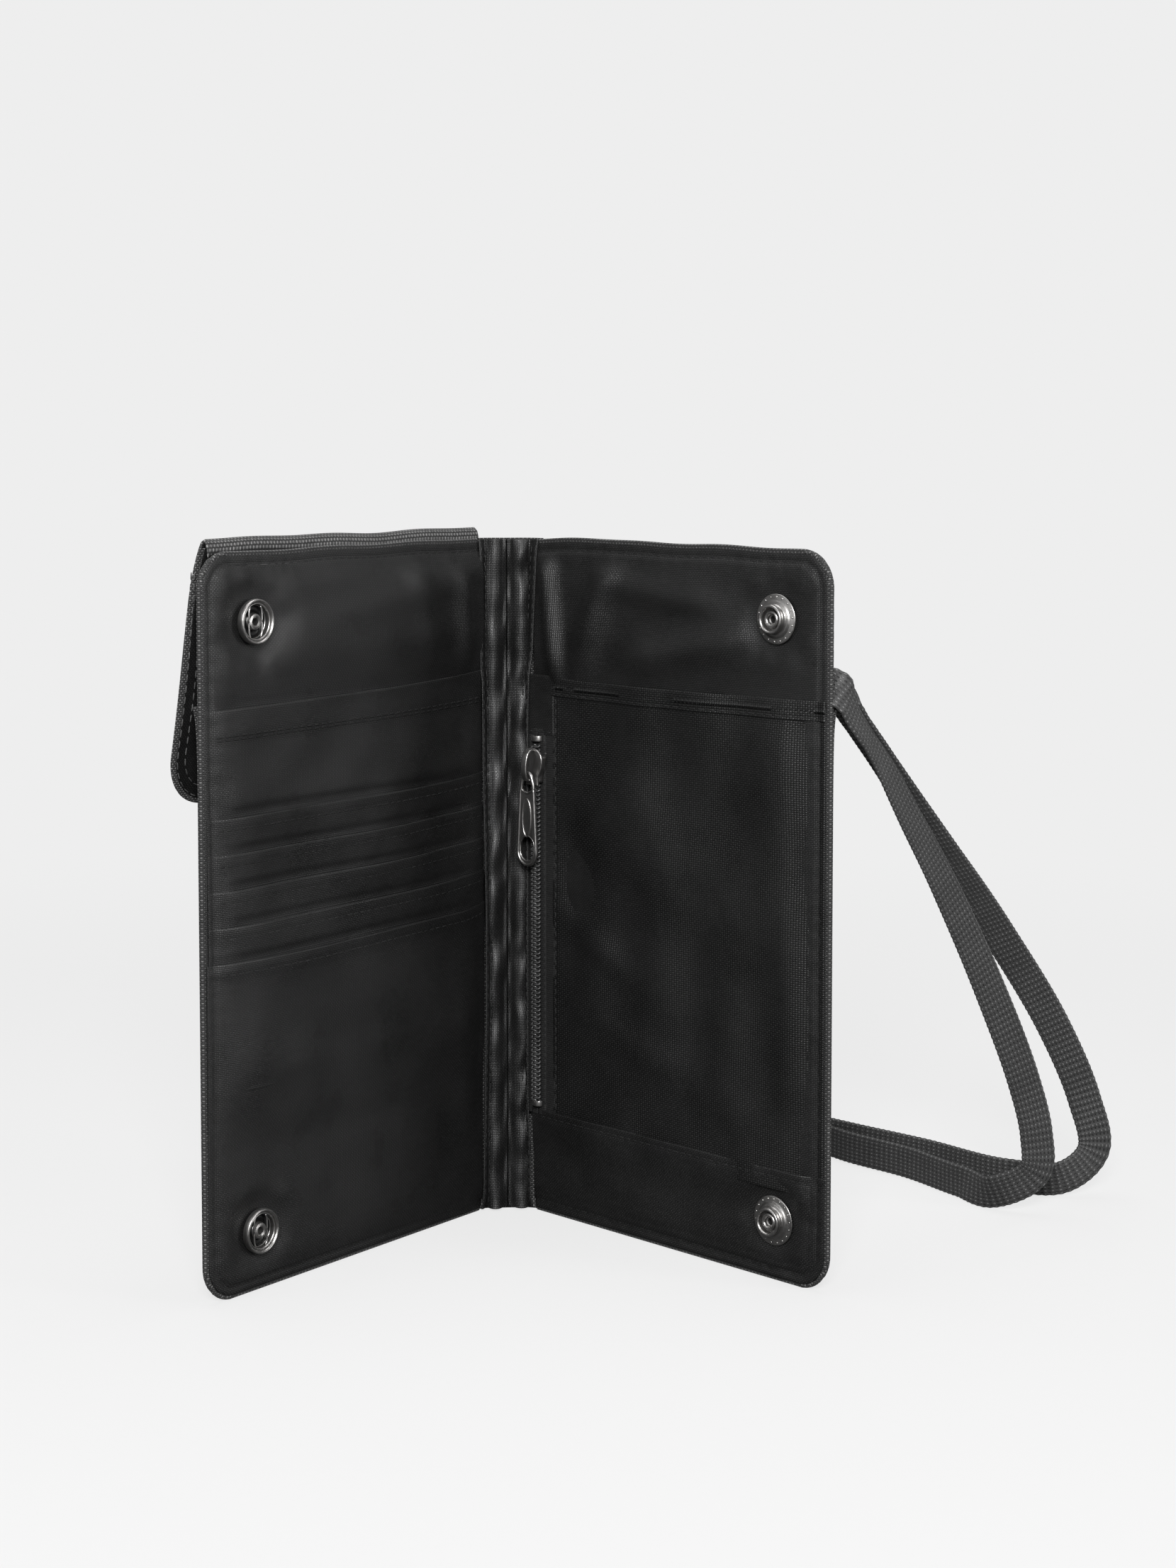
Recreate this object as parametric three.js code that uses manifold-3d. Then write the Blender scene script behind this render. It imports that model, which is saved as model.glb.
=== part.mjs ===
// Passport holder wallet: a bifold of black nylon that stands open on its lower edges.
// Left cover: note pocket, five card slots, two snap sockets, an outside pocket with a flap.
// Right cover: mesh pocket with a zip, two snap studs, a neck strap sewn to the back.
// Millimetres, +Z up. The origin is the middle of the wallet's footprint on the surface it stands on.
//
// Each cover is drawn in its own frame: X runs out from the fold (u), Y inwards (w, 0 on the inner
// face of the outer fabric, where the fold's axis is) and Z up. The right cover is the left one's mirror.
import * as THREE from "three";
import { mergeVertices } from "three/addons/utils/BufferGeometryUtils.js";
import Module from "manifold-3d";

const wasm = await Module();
wasm.setup();

// ---- Driving dimensions
const HEIGHT = 200; // of the covers
const COVER = 115; // from a fold's axis to the cover's outer edge
const SPINE = 15; // between the two folds' axes
const HALF_OPENING = THREE.MathUtils.degToRad(41.2); // each cover from the plane of symmetry
const CORNER = 10; // radius of a cover's outer corners
const HINGE_GAP = 0.15; // outer fabric to a fold's axis
const INNER_START = 2.2; // where a cover's inner layers start, so that the spine folds in beside them

// ---- Layers, as [outer face, inner face] in w
const SHELL = [-0.9, 0];
const BOARD = [0.25, 1.15];
const LINING = [1.5, 1.75];
const FIRST_LAYER = 1.95;
const LAYER = 0.2;
const LAYER_PITCH = 0.45;
const OUTER_POCKET = [-2.0, -1.1];
const LOOP_PATCH = [-3.0, -2.2];

// ---- Pockets of the left cover
const NOTE_POCKET_TOP = 159;
const CARD_SLOT_TOP = 130; // of the first slot
const CARD_SLOT_PITCH = 9.6;
const CARD_SLOTS = 5;
const CARD_SLOT_DEPTH = 45;
const SLOT_SPAN = [2.6, 111]; // the card slots' sewn width, in u
const FRONT_BEND = [57, 40]; // the last slot's panel comes down to the lining between these heights
const OUTER_POCKET_TOP = 160;
const OUTER_PANEL_TOP = 159; // of the extra layer on the back of the right cover

// ---- Snaps
const SNAP_U = 96.8;
const SNAP_HEIGHTS = { upper: 181, lower: 17 };
const SNAP_BASE = 1.95; // the face that a socket or stud stands on
const SNAP_CLEARANCE = 7.2; // radius that is free of pocket layers round a snap
const POST_HOLE = 2.0;
const BOARD_HOLE = 5;

// ---- Zip and mesh pocket of the right cover
const ZIP_U = 5.7;
const ZIP_BOTTOM = 33;
const ZIP_TOP = 141;
const MESH_START = 11.5;
const MESH_TOP = 159;
const BAND_TOP = 31.5;
const MESH = [2.5, 2.85];
const ZIP_TAPE = [3.0, 3.25];
const TEETH = [3.45, 4.85];
const TOOTH_PITCH = 2;

// ---- Zip slider and its pull
const SLIDER_LENGTH = 11;
const SLIDER_TOP = 139;
const SLIDER_WIDTH = 8.4;
const CROWN_WIDTH = 1.8;
const PULL_PIVOT = { z: 131.35, w: 7.45 };
const PULL_LENGTH = 27; // from its pivot to its lower end

// ---- Flap
const FLAP_AXIS = { w: -2.6, z: 200.6 };
const FLAP_LENGTH = 70;
const FLAP_FLARE = THREE.MathUtils.degToRad(8.5);
const FLAP_SPAN = [2.4, 114];
const FLAP_CORNER = 14;
const FLAP_SHELL = [-2.4, -1.5]; // from the flap's axis
const FLAP_LINING = [-1.3, -1.05];
const HOOK_PATCH = [-0.85, -0.15];
const PATCH = { length: 60, height: 15, z: 142 };

// ---- Neck strap
const STRAP_WIDTH = 10;
const STRAP_THICKNESS = 1.3;
const STRAP_LEVEL = 164.5; // height at which it is sewn to the back of the right cover
const STRAP_END = 14; // length of each sewn end
const STRAP_END_FACES = [-2.4, -1.1];
const STRAP_STARTS = { a: 22, b: 88 }; // where each sewn end starts, in u
const COIL_CENTRE = [55, 44]; // from the middle of the spine
const COIL_RADII = [14, 45.5];
const COIL_HEIGHT = 10.6;

// ---- Materials
const material = (color, roughness, metalness = 0) =>
  new THREE.MeshStandardMaterial({ color, roughness, metalness });
const OUTER_FABRIC = material(0x1b1b1c, 0.85);
const LINING_FABRIC = material(0x101011, 0.55);
const MESH_FABRIC = material(0x0c0c0d, 0.5);
const WEBBING = material(0x171717, 0.7);
const BOARD_PLASTIC = material(0x2a2a2a, 0.6);
const TAPE = material(0x0e0e0e, 0.8);
const COIL_PLASTIC = material(0x0a0a0a, 0.35);
const GUNMETAL = material(0x77787a, 0.3, 1);
const HOOK_AND_LOOP = material(0x0d0d0d, 0.95);

// ---- Groups: one for each cover, the spine and the parts that move on them
const wallet = new THREE.Group();
const spine = new THREE.Group();
const leftCover = new THREE.Group();
const rightCover = new THREE.Group();
const mirror = new THREE.Group();
const flap = new THREE.Group();
const straps = new THREE.Group();
mirror.scale.x = -1;
mirror.add(rightCover);
wallet.add(spine, leftCover, mirror, straps);
for (const cover of [leftCover, rightCover]) {
  cover.position.x = -SPINE / 2;
  cover.rotation.z = -Math.PI / 2 - HALF_OPENING;
}
flap.position.set(0, FLAP_AXIS.w, FLAP_AXIS.z);
flap.rotation.x = -FLAP_FLARE;
leftCover.add(flap);

function addPart(group, name, geometry, look) {
  const mesh = new THREE.Mesh(geometry, look);
  mesh.name = name;
  group.add(mesh);
}

// ---- Outlines, as shapes in u and z
function rectangle(u0, z0, u1, z1) {
  return new THREE.Shape([
    new THREE.Vector2(u0, z0),
    new THREE.Vector2(u1, z0),
    new THREE.Vector2(u1, z1),
    new THREE.Vector2(u0, z1),
  ]);
}

// A rectangle whose corners on the outer side (u1) are rounded: the lower, the upper or both.
function coverOutline(u0, z0, u1, z1, lower = CORNER, upper = CORNER) {
  const shape = new THREE.Shape();
  shape.moveTo(u0, z0);
  shape.lineTo(u1 - lower, z0);
  if (lower) shape.absarc(u1 - lower, z0 + lower, lower, -Math.PI / 2, 0);
  shape.lineTo(u1, z1 - upper);
  if (upper) shape.absarc(u1 - upper, z1 - upper, upper, 0, Math.PI / 2);
  shape.lineTo(u0, z1);
  return shape;
}

function withHoles(shape, radius, heights) {
  for (const z of heights) {
    const hole = new THREE.Path();
    hole.absarc(SNAP_U, z, radius, 0, 2 * Math.PI, true);
    shape.holes.push(hole);
  }
  return shape;
}

// ---- Solids
// A sheet: an outline in u and z, from one w to another.
function slab(shape, [w0, w1]) {
  return new THREE.ExtrudeGeometry(shape, { depth: w1 - w0, bevelEnabled: false, curveSegments: 8 })
    .rotateX(Math.PI / 2)
    .translate(0, w1, 0);
}

// A bar: a section in w and z, from one u to another.
function bar(section, u0, u1) {
  const turn = new THREE.Matrix4().set(0, 0, 1, 0, 1, 0, 0, 0, 0, 1, 0, 0, 0, 0, 0, 1);
  return new THREE.ExtrudeGeometry(section, { depth: u1 - u0, bevelEnabled: false, curveSegments: 8 })
    .applyMatrix4(turn)
    .translate(u0, 0, 0);
}

// A turned part whose axis is along w. Its profile is a closed loop of [radius, height] points.
function turned(profile, u, w, z, segments = 24) {
  const points = [...profile, profile[0]].map(([r, y]) => new THREE.Vector2(r, y));
  return new THREE.LatheGeometry(points, segments).translate(u, w, z);
}

function toSolid(geometry) {
  const bare = geometry.clone();
  bare.deleteAttribute("normal");
  bare.deleteAttribute("uv");
  const merged = mergeVertices(bare, 1e-4);
  return new wasm.Manifold(
    new wasm.Mesh({
      numProp: 3,
      vertProperties: merged.attributes.position.array,
      triVerts: new Uint32Array(merged.index.array),
    }),
  );
}

function toGeometry(solid) {
  const { vertProperties, triVerts } = solid.getMesh();
  const geometry = new THREE.BufferGeometry();
  geometry.setAttribute("position", new THREE.BufferAttribute(vertProperties, 3));
  geometry.setIndex(new THREE.BufferAttribute(triVerts, 1));
  geometry.computeVertexNormals();
  return geometry;
}

const common = (a, b) => toGeometry(toSolid(a).intersect(toSolid(b)));
const joined = (...parts) => toGeometry(parts.map(toSolid).reduce((a, b) => a.add(b)));

const layer = (level) => {
  const w0 = FIRST_LAYER + level * LAYER_PITCH;
  return [w0, w0 + LAYER];
};

// ---- What both covers are built on
function buildCover(group, side) {
  const heights = Object.values(SNAP_HEIGHTS);
  const shell = coverOutline(HINGE_GAP, 0, COVER, HEIGHT);
  const board = withHoles(coverOutline(4, 4, COVER - 4, HEIGHT - 4, 7, 7), BOARD_HOLE, heights);
  const lining = withHoles(
    coverOutline(INNER_START, 0.6, COVER - 0.6, HEIGHT - 0.6),
    POST_HOLE,
    heights,
  );
  addPart(group, side + "_shell", slab(shell, SHELL), OUTER_FABRIC);
  addPart(group, side + "_board", slab(board, BOARD), BOARD_PLASTIC);
  addPart(group, side + "_lining", slab(lining, LINING), LINING_FABRIC);
}

// An extra layer of the outer fabric on the back of the right cover; the strap ends are sewn above it.
function buildOuterPanel() {
  const panel = coverOutline(1.5, 0.4, COVER - 0.4, OUTER_PANEL_TOP, CORNER, 0);
  addPart(rightCover, "outer_panel", slab(panel, OUTER_POCKET), OUTER_FABRIC);
}

function buildSpine() {
  const half = SPINE / 2;
  const strip = (inset, y0, y1, z0, z1) =>
    new THREE.BoxGeometry(SPINE - 2 * inset, y1 - y0, z1 - z0).translate(
      0,
      (y0 + y1) / 2,
      (z0 + z1) / 2,
    );
  addPart(spine, "spine_shell", strip(HINGE_GAP, 0, -SHELL[0], 0, HEIGHT), OUTER_FABRIC);
  const inset = half * 0.2;
  addPart(spine, "spine_lining", strip(inset, -0.95, -0.6, 0.6, HEIGHT - 0.6), LINING_FABRIC);
}

// ---- Left cover
function buildNotePocket() {
  const outline = coverOutline(INNER_START, 1.2, COVER - 1.5, NOTE_POCKET_TOP, CORNER, 0);
  withHoles(outline, SNAP_CLEARANCE, [SNAP_HEIGHTS.lower]);
  addPart(leftCover, "note_pocket", slab(outline, layer(0)), LINING_FABRIC);
}

function buildCardSlots() {
  for (let i = 0; i < CARD_SLOTS - 1; i++) {
    const top = CARD_SLOT_TOP - i * CARD_SLOT_PITCH;
    const outline = rectangle(SLOT_SPAN[0], top - CARD_SLOT_DEPTH, SLOT_SPAN[1], top);
    addPart(leftCover, "card_slot_" + (i + 1), slab(outline, layer(i + 1)), LINING_FABRIC);
  }
  // The last slot's panel is the front of them all, and runs on down to the lower edge.
  const top = CARD_SLOT_TOP - (CARD_SLOTS - 1) * CARD_SLOT_PITCH;
  const [high, low] = FRONT_BEND;
  const front = layer(CARD_SLOTS)[0];
  const back = layer(1)[0];
  const section = new THREE.Shape([
    new THREE.Vector2(front, top),
    new THREE.Vector2(front, high),
    new THREE.Vector2(back, low),
    new THREE.Vector2(back, 1.8),
    new THREE.Vector2(back + LAYER, 1.8),
    new THREE.Vector2(back + LAYER, low),
    new THREE.Vector2(front + LAYER, high),
    new THREE.Vector2(front + LAYER, top),
  ]);
  const outline = coverOutline(SLOT_SPAN[0], 1.8, COVER - 2, top + 1, CORNER, 0);
  withHoles(outline, SNAP_CLEARANCE, [SNAP_HEIGHTS.lower]);
  const panel = common(bar(section, 0, COVER), slab(outline, [back - 1, front + 1]));
  addPart(leftCover, "card_slot_" + CARD_SLOTS, panel, LINING_FABRIC);
}

function buildOutsidePocket() {
  const pocket = coverOutline(1.5, 0.4, COVER - 0.4, OUTER_POCKET_TOP, CORNER, 0);
  addPart(leftCover, "outer_pocket", slab(pocket, OUTER_POCKET), OUTER_FABRIC);
  const middle = COVER / 2;
  const patch = rectangle(
    middle - PATCH.length / 2,
    PATCH.z - PATCH.height / 2,
    middle + PATCH.length / 2,
    PATCH.z + PATCH.height / 2,
  );
  addPart(leftCover, "loop_patch", slab(patch, LOOP_PATCH), HOOK_AND_LOOP);
}

// The flap hangs from its own axis, which lies along the top edge: here z is measured down from it.
function buildFlap() {
  const shape = (inset) => {
    const [u0, u1] = [FLAP_SPAN[0] + inset, FLAP_SPAN[1] - inset];
    const [bottom, r] = [inset - FLAP_LENGTH, FLAP_CORNER - inset];
    const outline = new THREE.Shape();
    outline.moveTo(u0 + r, bottom);
    outline.lineTo(u1 - r, bottom);
    outline.absarc(u1 - r, bottom + r, r, -Math.PI / 2, 0);
    outline.lineTo(u1, 0);
    outline.lineTo(u0, 0);
    outline.absarc(u0 + r, bottom + r, r, Math.PI, 1.5 * Math.PI);
    return outline;
  };
  addPart(flap, "flap_shell", slab(shape(0), FLAP_SHELL), OUTER_FABRIC);
  addPart(flap, "flap_lining", slab(shape(1), FLAP_LINING), LINING_FABRIC);
  const middle = COVER / 2;
  const z = PATCH.z - FLAP_AXIS.z;
  const patch = rectangle(
    middle - PATCH.length / 2,
    z - PATCH.height / 2,
    middle + PATCH.length / 2,
    z + PATCH.height / 2,
  );
  addPart(flap, "hook_patch", slab(patch, HOOK_PATCH), HOOK_AND_LOOP);
}

// ---- Snaps: profiles as [radius, height above the face they stand on]
const SOCKET = [
  [2.0, 0],
  [5.3, 0],
  [6.05, 0.5],
  [6.05, 1.7],
  [5.75, 2.25],
  [5.3, 2.4],
  [4.8, 2.25],
  [4.45, 1.9],
  [4.4, 0.45],
  [2.0, 0.45],
];
const STUD = [
  [2.0, 0],
  [6.8, 0],
  [6.8, 0.3],
  [4.4, 0.45],
  [3.3, 0.9],
  [3.2, 1.6],
  [3.5, 2.3],
  [3.25, 2.8],
  [2.85, 2.95],
  [2.5, 2.8],
  [2.35, 2.3],
  [2.35, 0.6],
  [2.0, 0.6],
];
// A hollow rivet: its flange is behind the lining, and its rolled lip holds the socket or stud.
const POST = [
  [1.05, -1.15],
  [4.2, -1.15],
  [4.2, -0.75],
  [1.7, -0.7],
  [1.7, 0.8],
  [2.15, 0.85],
  [2.1, 1.2],
  [1.5, 1.35],
  [1.05, 1.1],
];
const SPRING = { radius: 3.95, wire: 0.27, height: 1.25, opening: 0.5 };

function springWire(u, w, z) {
  const points = [];
  for (let i = 0; i <= 24; i++) {
    const angle = SPRING.opening + (i / 24) * (2 * Math.PI - 2 * SPRING.opening);
    points.push(
      new THREE.Vector3(SPRING.radius * Math.cos(angle), 0, SPRING.radius * Math.sin(angle)),
    );
  }
  const section = new THREE.Shape().absarc(0, 0, SPRING.wire, 0, 2 * Math.PI);
  return new THREE.ExtrudeGeometry(section, {
    steps: 24,
    curveSegments: 4,
    extrudePath: new THREE.CatmullRomCurve3(points),
  }).translate(u, w, z);
}

function buildSnaps() {
  for (const [place, z] of Object.entries(SNAP_HEIGHTS)) {
    const at = [SNAP_U, SNAP_BASE, z];
    addPart(leftCover, place + "_socket", turned(SOCKET, ...at), GUNMETAL);
    addPart(leftCover, place + "_socket_post", turned(POST, ...at, 20), GUNMETAL);
    const spring = springWire(SNAP_U, SNAP_BASE + SPRING.height, z);
    addPart(leftCover, place + "_socket_spring", spring, GUNMETAL);
    addPart(rightCover, place + "_stud", turned(STUD, ...at), GUNMETAL);
    addPart(rightCover, place + "_stud_post", turned(POST, ...at, 20), GUNMETAL);
  }
}

// ---- Right cover
function buildMeshPocket() {
  const back = rectangle(INNER_START + 0.2, 28, COVER - 1.5, MESH_TOP - 0.5);
  addPart(rightCover, "zip_pocket_back", slab(back, layer(0)), LINING_FABRIC);
  const panel = rectangle(MESH_START, 28, COVER - 1.5, MESH_TOP);
  addPart(rightCover, "mesh_panel", slab(panel, MESH), MESH_FABRIC);
  const hem = rectangle(MESH_START, MESH_TOP - 4.5, COVER - 1.5, MESH_TOP + 0.4);
  addPart(rightCover, "mesh_top_hem", slab(hem, [MESH[1] + 0.2, MESH[1] + 0.45]), MESH_FABRIC);
  const tab = rectangle(INNER_START + 0.2, ZIP_TOP + 2.5, MESH_START - 0.3, MESH_TOP + 0.4);
  addPart(rightCover, "zip_end_tab", slab(tab, [ZIP_TAPE[0], ZIP_TAPE[1]]), LINING_FABRIC);
}

// The band across the foot of the right cover laps over the mesh panel and comes down to the lining.
function buildBottomBand() {
  const over = MESH[1] + 0.2;
  const under = layer(0)[0];
  const section = new THREE.Shape([
    new THREE.Vector2(over, BAND_TOP),
    new THREE.Vector2(over, 27.5),
    new THREE.Vector2(under, 24.5),
    new THREE.Vector2(under, 1.2),
    new THREE.Vector2(under + LAYER, 1.2),
    new THREE.Vector2(under + LAYER, 24.5),
    new THREE.Vector2(over + LAYER, 27.5),
    new THREE.Vector2(over + LAYER, BAND_TOP),
  ]);
  const outline = coverOutline(MESH_START - 6, 1.2, COVER - 1.5, BAND_TOP + 1, CORNER, 0);
  withHoles(outline, SNAP_CLEARANCE, [SNAP_HEIGHTS.lower]);
  const band = common(bar(section, 0, COVER), slab(outline, [under - 1, over + 1]));
  addPart(rightCover, "bottom_band", band, LINING_FABRIC);
}

function buildZip() {
  const inner = rectangle(INNER_START + 0.3, ZIP_BOTTOM - 0.8, ZIP_U - 0.15, ZIP_TOP + 2.2);
  const outer = rectangle(ZIP_U + 0.15, ZIP_BOTTOM - 0.8, MESH_START - 0.3, ZIP_TOP + 2.2);
  addPart(rightCover, "zip_tape_inner", slab(inner, ZIP_TAPE), TAPE);
  addPart(rightCover, "zip_tape_outer", slab(outer, ZIP_TAPE), TAPE);
  addPart(rightCover, "zip_teeth_inner", slab(teethOutline(-1, 0), TEETH), COIL_PLASTIC);
  addPart(rightCover, "zip_teeth_outer", slab(teethOutline(1, TOOTH_PITCH / 2), TEETH), COIL_PLASTIC);
  const stop = (z0, z1) => slab(rectangle(ZIP_U - 1.6, z0, ZIP_U + 1.6, z1), TEETH);
  addPart(rightCover, "zip_top_stop", stop(ZIP_TOP - 0.2, ZIP_TOP + 1.6), GUNMETAL);
  addPart(rightCover, "zip_bottom_stop", stop(ZIP_BOTTOM - 0.6, ZIP_BOTTOM + 1.4), GUNMETAL);
}

// One row of teeth: a cord with teeth that reach past the middle, between those of the other row.
function teethOutline(side, shift) {
  const [root, base, tip] = [1.5, 0.55, -0.35].map((d) => ZIP_U + side * d);
  const [start, end] = [ZIP_BOTTOM + 1.8, ZIP_TOP - 0.6];
  const half = 0.35;
  const points = [new THREE.Vector2(root, start), new THREE.Vector2(base, start)];
  for (let z = start + 0.6 + shift; z < end - 0.6; z += TOOTH_PITCH) {
    points.push(
      new THREE.Vector2(base, z - half),
      new THREE.Vector2(tip, z - half),
      new THREE.Vector2(tip, z + half),
      new THREE.Vector2(base, z + half),
    );
  }
  points.push(new THREE.Vector2(base, end), new THREE.Vector2(root, end));
  return new THREE.Shape(points);
}

// The slider's top plate with its two side flanges, the plate behind the tape, and the crown.
function buildSlider() {
  const [z0, z1] = [SLIDER_TOP - SLIDER_LENGTH, SLIDER_TOP];
  const half = SLIDER_WIDTH / 2;
  const plateFaces = [TEETH[1] + 0.2, TEETH[1] + 1.1];
  const plate = (inset) => {
    const shape = new THREE.Shape();
    shape.moveTo(ZIP_U - half + inset, z1 - 2);
    shape.quadraticCurveTo(ZIP_U - half + inset, z1 - inset, ZIP_U, z1 - inset);
    shape.quadraticCurveTo(ZIP_U + half - inset, z1 - inset, ZIP_U + half - inset, z1 - 2);
    shape.lineTo(ZIP_U + 2.6, z0 + inset);
    shape.lineTo(ZIP_U - 2.6, z0 + inset);
    return shape;
  };
  const flange = (side) => {
    const [a, b] = [ZIP_U + side * 2.05, ZIP_U + side * 2.6];
    const shape = rectangle(Math.min(a, b), z0 + 0.5, Math.max(a, b), z1 - 3);
    return slab(shape, [ZIP_TAPE[1] + 0.2, plateFaces[0] + 0.1]);
  };
  const body = joined(slab(plate(0), plateFaces), flange(-1), flange(1));
  addPart(rightCover, "slider_body", body, GUNMETAL);
  addPart(rightCover, "slider_back_plate", slab(plate(0.4), [2.4, 2.8]), GUNMETAL);
  addPart(rightCover, "slider_crown", crown(plateFaces[1] + 0.2), GUNMETAL);
}

// The crown is a low bridge along the slider with an opening right through it, for the pull's bar.
function crown(foot) {
  const [low, high, top] = [129.6, 138.4, 9.0];
  const section = new THREE.Shape();
  section.moveTo(foot, low);
  section.lineTo(top - 1.4, low);
  section.quadraticCurveTo(top, low, top, low + 1.6);
  section.lineTo(top, high - 3.4);
  section.quadraticCurveTo(top, high, foot + 1.2, high);
  section.lineTo(foot, high);
  const [inLow, inHigh, inTop] = [low + 0.7, high - 1, top - 0.7];
  const opening = new THREE.Path();
  opening.moveTo(foot + 0.5, inLow);
  opening.lineTo(foot + 0.5, inHigh);
  opening.quadraticCurveTo(inTop, inHigh, inTop, high - 3.6);
  opening.lineTo(inTop, low + 1.6);
  opening.quadraticCurveTo(inTop, inLow, top - 1.4, inLow);
  section.holes.push(opening);
  return bar(section, ZIP_U - CROWN_WIDTH / 2, ZIP_U + CROWN_WIDTH / 2);
}

// The pull: a bar through the crown, an arm on each side of it, and a tapered plate with a hole.
function buildPull() {
  const { z, w } = PULL_PIVOT;
  const faces = [w - 0.65, w + 0.65];
  const arm = 2.1;
  const barSection = new THREE.Shape().absarc(w, z, 0.45, 0, 2 * Math.PI);
  const plateTop = z - 4;
  const [topHalf, bottomHalf] = [3.3, 4.2];
  const centre = z - PULL_LENGTH + bottomHalf;
  const plate = new THREE.Shape();
  plate.moveTo(ZIP_U - topHalf, plateTop);
  plate.lineTo(ZIP_U - bottomHalf, centre);
  plate.absarc(ZIP_U, centre, bottomHalf, Math.PI, 2 * Math.PI);
  plate.lineTo(ZIP_U + topHalf, plateTop);
  const eye = new THREE.Path();
  eye.absarc(ZIP_U, centre, 2.8, Math.PI, 2 * Math.PI);
  eye.absarc(ZIP_U, centre + 1.6, 2.8, 0, Math.PI);
  plate.holes.push(eye);
  const armOf = (side) => {
    const [a, b] = [ZIP_U + side * 1.25, ZIP_U + side * arm];
    return slab(rectangle(Math.min(a, b), plateTop - 0.5, Math.max(a, b), z + 0.6), faces);
  };
  const pull = joined(
    slab(plate, faces),
    bar(barSection, ZIP_U - arm, ZIP_U + arm),
    armOf(-1),
    armOf(1),
  );
  addPart(rightCover, "pull_tab", pull, GUNMETAL);
}

// ---- Neck strap
function buildStrapEnds() {
  for (const [name, u] of Object.entries(STRAP_STARTS)) {
    const half = STRAP_WIDTH / 2;
    const end = rectangle(u, STRAP_LEVEL - half, u + STRAP_END, STRAP_LEVEL + half);
    addPart(rightCover, "strap_end_" + name, slab(end, STRAP_END_FACES), WEBBING);
  }
}

// A flat strap along a route. Its width stays square to the view along Y, so it shows its face.
function ribbon(route, steps) {
  const curve = new THREE.CatmullRomCurve3(route.map((p) => new THREE.Vector3(...p)));
  const positions = [];
  const indices = [];
  for (let i = 0; i <= steps; i++) {
    const centre = curve.getPointAt(i / steps);
    const along = curve.getTangentAt(i / steps);
    const across = new THREE.Vector3(-along.z, 0, along.x).normalize();
    const normal = new THREE.Vector3().crossVectors(along, across).normalize();
    for (const [a, n] of [[-1, -1], [1, -1], [1, 1], [-1, 1]]) {
      const corner = centre
        .clone()
        .addScaledVector(across, (a * STRAP_WIDTH) / 2)
        .addScaledVector(normal, (n * STRAP_THICKNESS) / 2);
      positions.push(corner.x, corner.y, corner.z);
    }
    if (i === steps) break;
    for (let k = 0; k < 4; k++) {
      const [p, q] = [4 * i + k, 4 * i + ((k + 1) % 4)];
      indices.push(p, q, q + 4, p, q + 4, p + 4);
    }
  }
  const last = 4 * steps;
  indices.push(0, 2, 1, 0, 3, 2, last, last + 1, last + 2, last, last + 2, last + 3);
  const geometry = new THREE.BufferGeometry();
  geometry.setAttribute("position", new THREE.Float32BufferAttribute(positions, 3));
  geometry.setIndex(indices);
  geometry.computeVertexNormals();
  return geometry;
}

// From the sewn ends, out past the cover's edge, down to the surface and back behind the cover.
const STRAND_A = [
  [32.8, -26.2, 164.5],
  [44.9, -36.4, 164.2],
  [61, -52.9, 163.4],
  [76.3, -70, 162.4],
  [85.8, -77.5, 160.3],
  [91.5, -72, 153.5],
  [99.8, -61, 143],
  [122.8, -37, 112],
  [144, -13, 84],
  [163.3, -2, 54],
  [174.3, 2, 30],
  [177.5, 2.5, 14],
  [168, 1, 6.2],
  [152, 8, 5.3],
  [132, 32, 5.3],
  [115, 50, 5.3],
  [104, 62, 5.3],
  [90.2, 75.8, 5.3],
];
const STRAND_B = [
  [76.3, -75.9, 164.5],
  [81.3, -80, 164.2],
  [88, -84.3, 162.5],
  [92.5, -79.5, 155],
  [98, -69, 145],
  [109, -55.5, 126],
  [121.5, -42, 104.6],
  [137.4, -28, 73.1],
  [150.5, -20, 41.8],
  [155.3, -17.5, 24],
  [155, -17, 13],
  [144, -12, 5.8],
  [136, 2, 5.3],
  [124, 24, 5.3],
  [108, 44, 5.3],
  [99.5, 60.2, 5.3],
];

function buildStraps() {
  addPart(straps, "strap_strand_a", ribbon(STRAND_A, 60), WEBBING);
  addPart(straps, "strap_strand_b", ribbon(STRAND_B, 50), WEBBING);
  const [inner, outer] = COIL_RADII;
  const ring = [
    [inner, 0.2],
    [outer, 0.2],
    [outer, COIL_HEIGHT],
    [inner, COIL_HEIGHT],
  ];
  const coil = turned(ring, 0, 0, 0, 32).rotateX(Math.PI / 2);
  addPart(straps, "strap_coil", coil.translate(...COIL_CENTRE, 0), WEBBING);
}

buildCover(leftCover, "left");
buildCover(rightCover, "right");
buildOuterPanel();
buildSpine();
buildNotePocket();
buildCardSlots();
buildOutsidePocket();
buildFlap();
buildSnaps();
buildMeshPocket();
buildBottomBand();
buildZip();
buildSlider();
buildPull();
buildStrapEnds();
buildStraps();

// The origin goes to the middle of the wallet's footprint, without the strap.
straps.removeFromParent();
const footprint = new THREE.Box3().setFromObject(wallet, true).getCenter(new THREE.Vector3());
wallet.add(straps);
wallet.position.set(-footprint.x, -footprint.y, 0);
wallet.updateMatrixWorld(true);

export default wallet;
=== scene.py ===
"""Looks of the open passport holder wallet: cloth, stitching, snaps, zip and strap, on its CAD frame.

Lengths are millimetres until a mesh is made. Each cover is drawn in its own frame: u runs out from
the fold, w inwards from the inner face of the outer fabric, z up.
"""

import math

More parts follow.
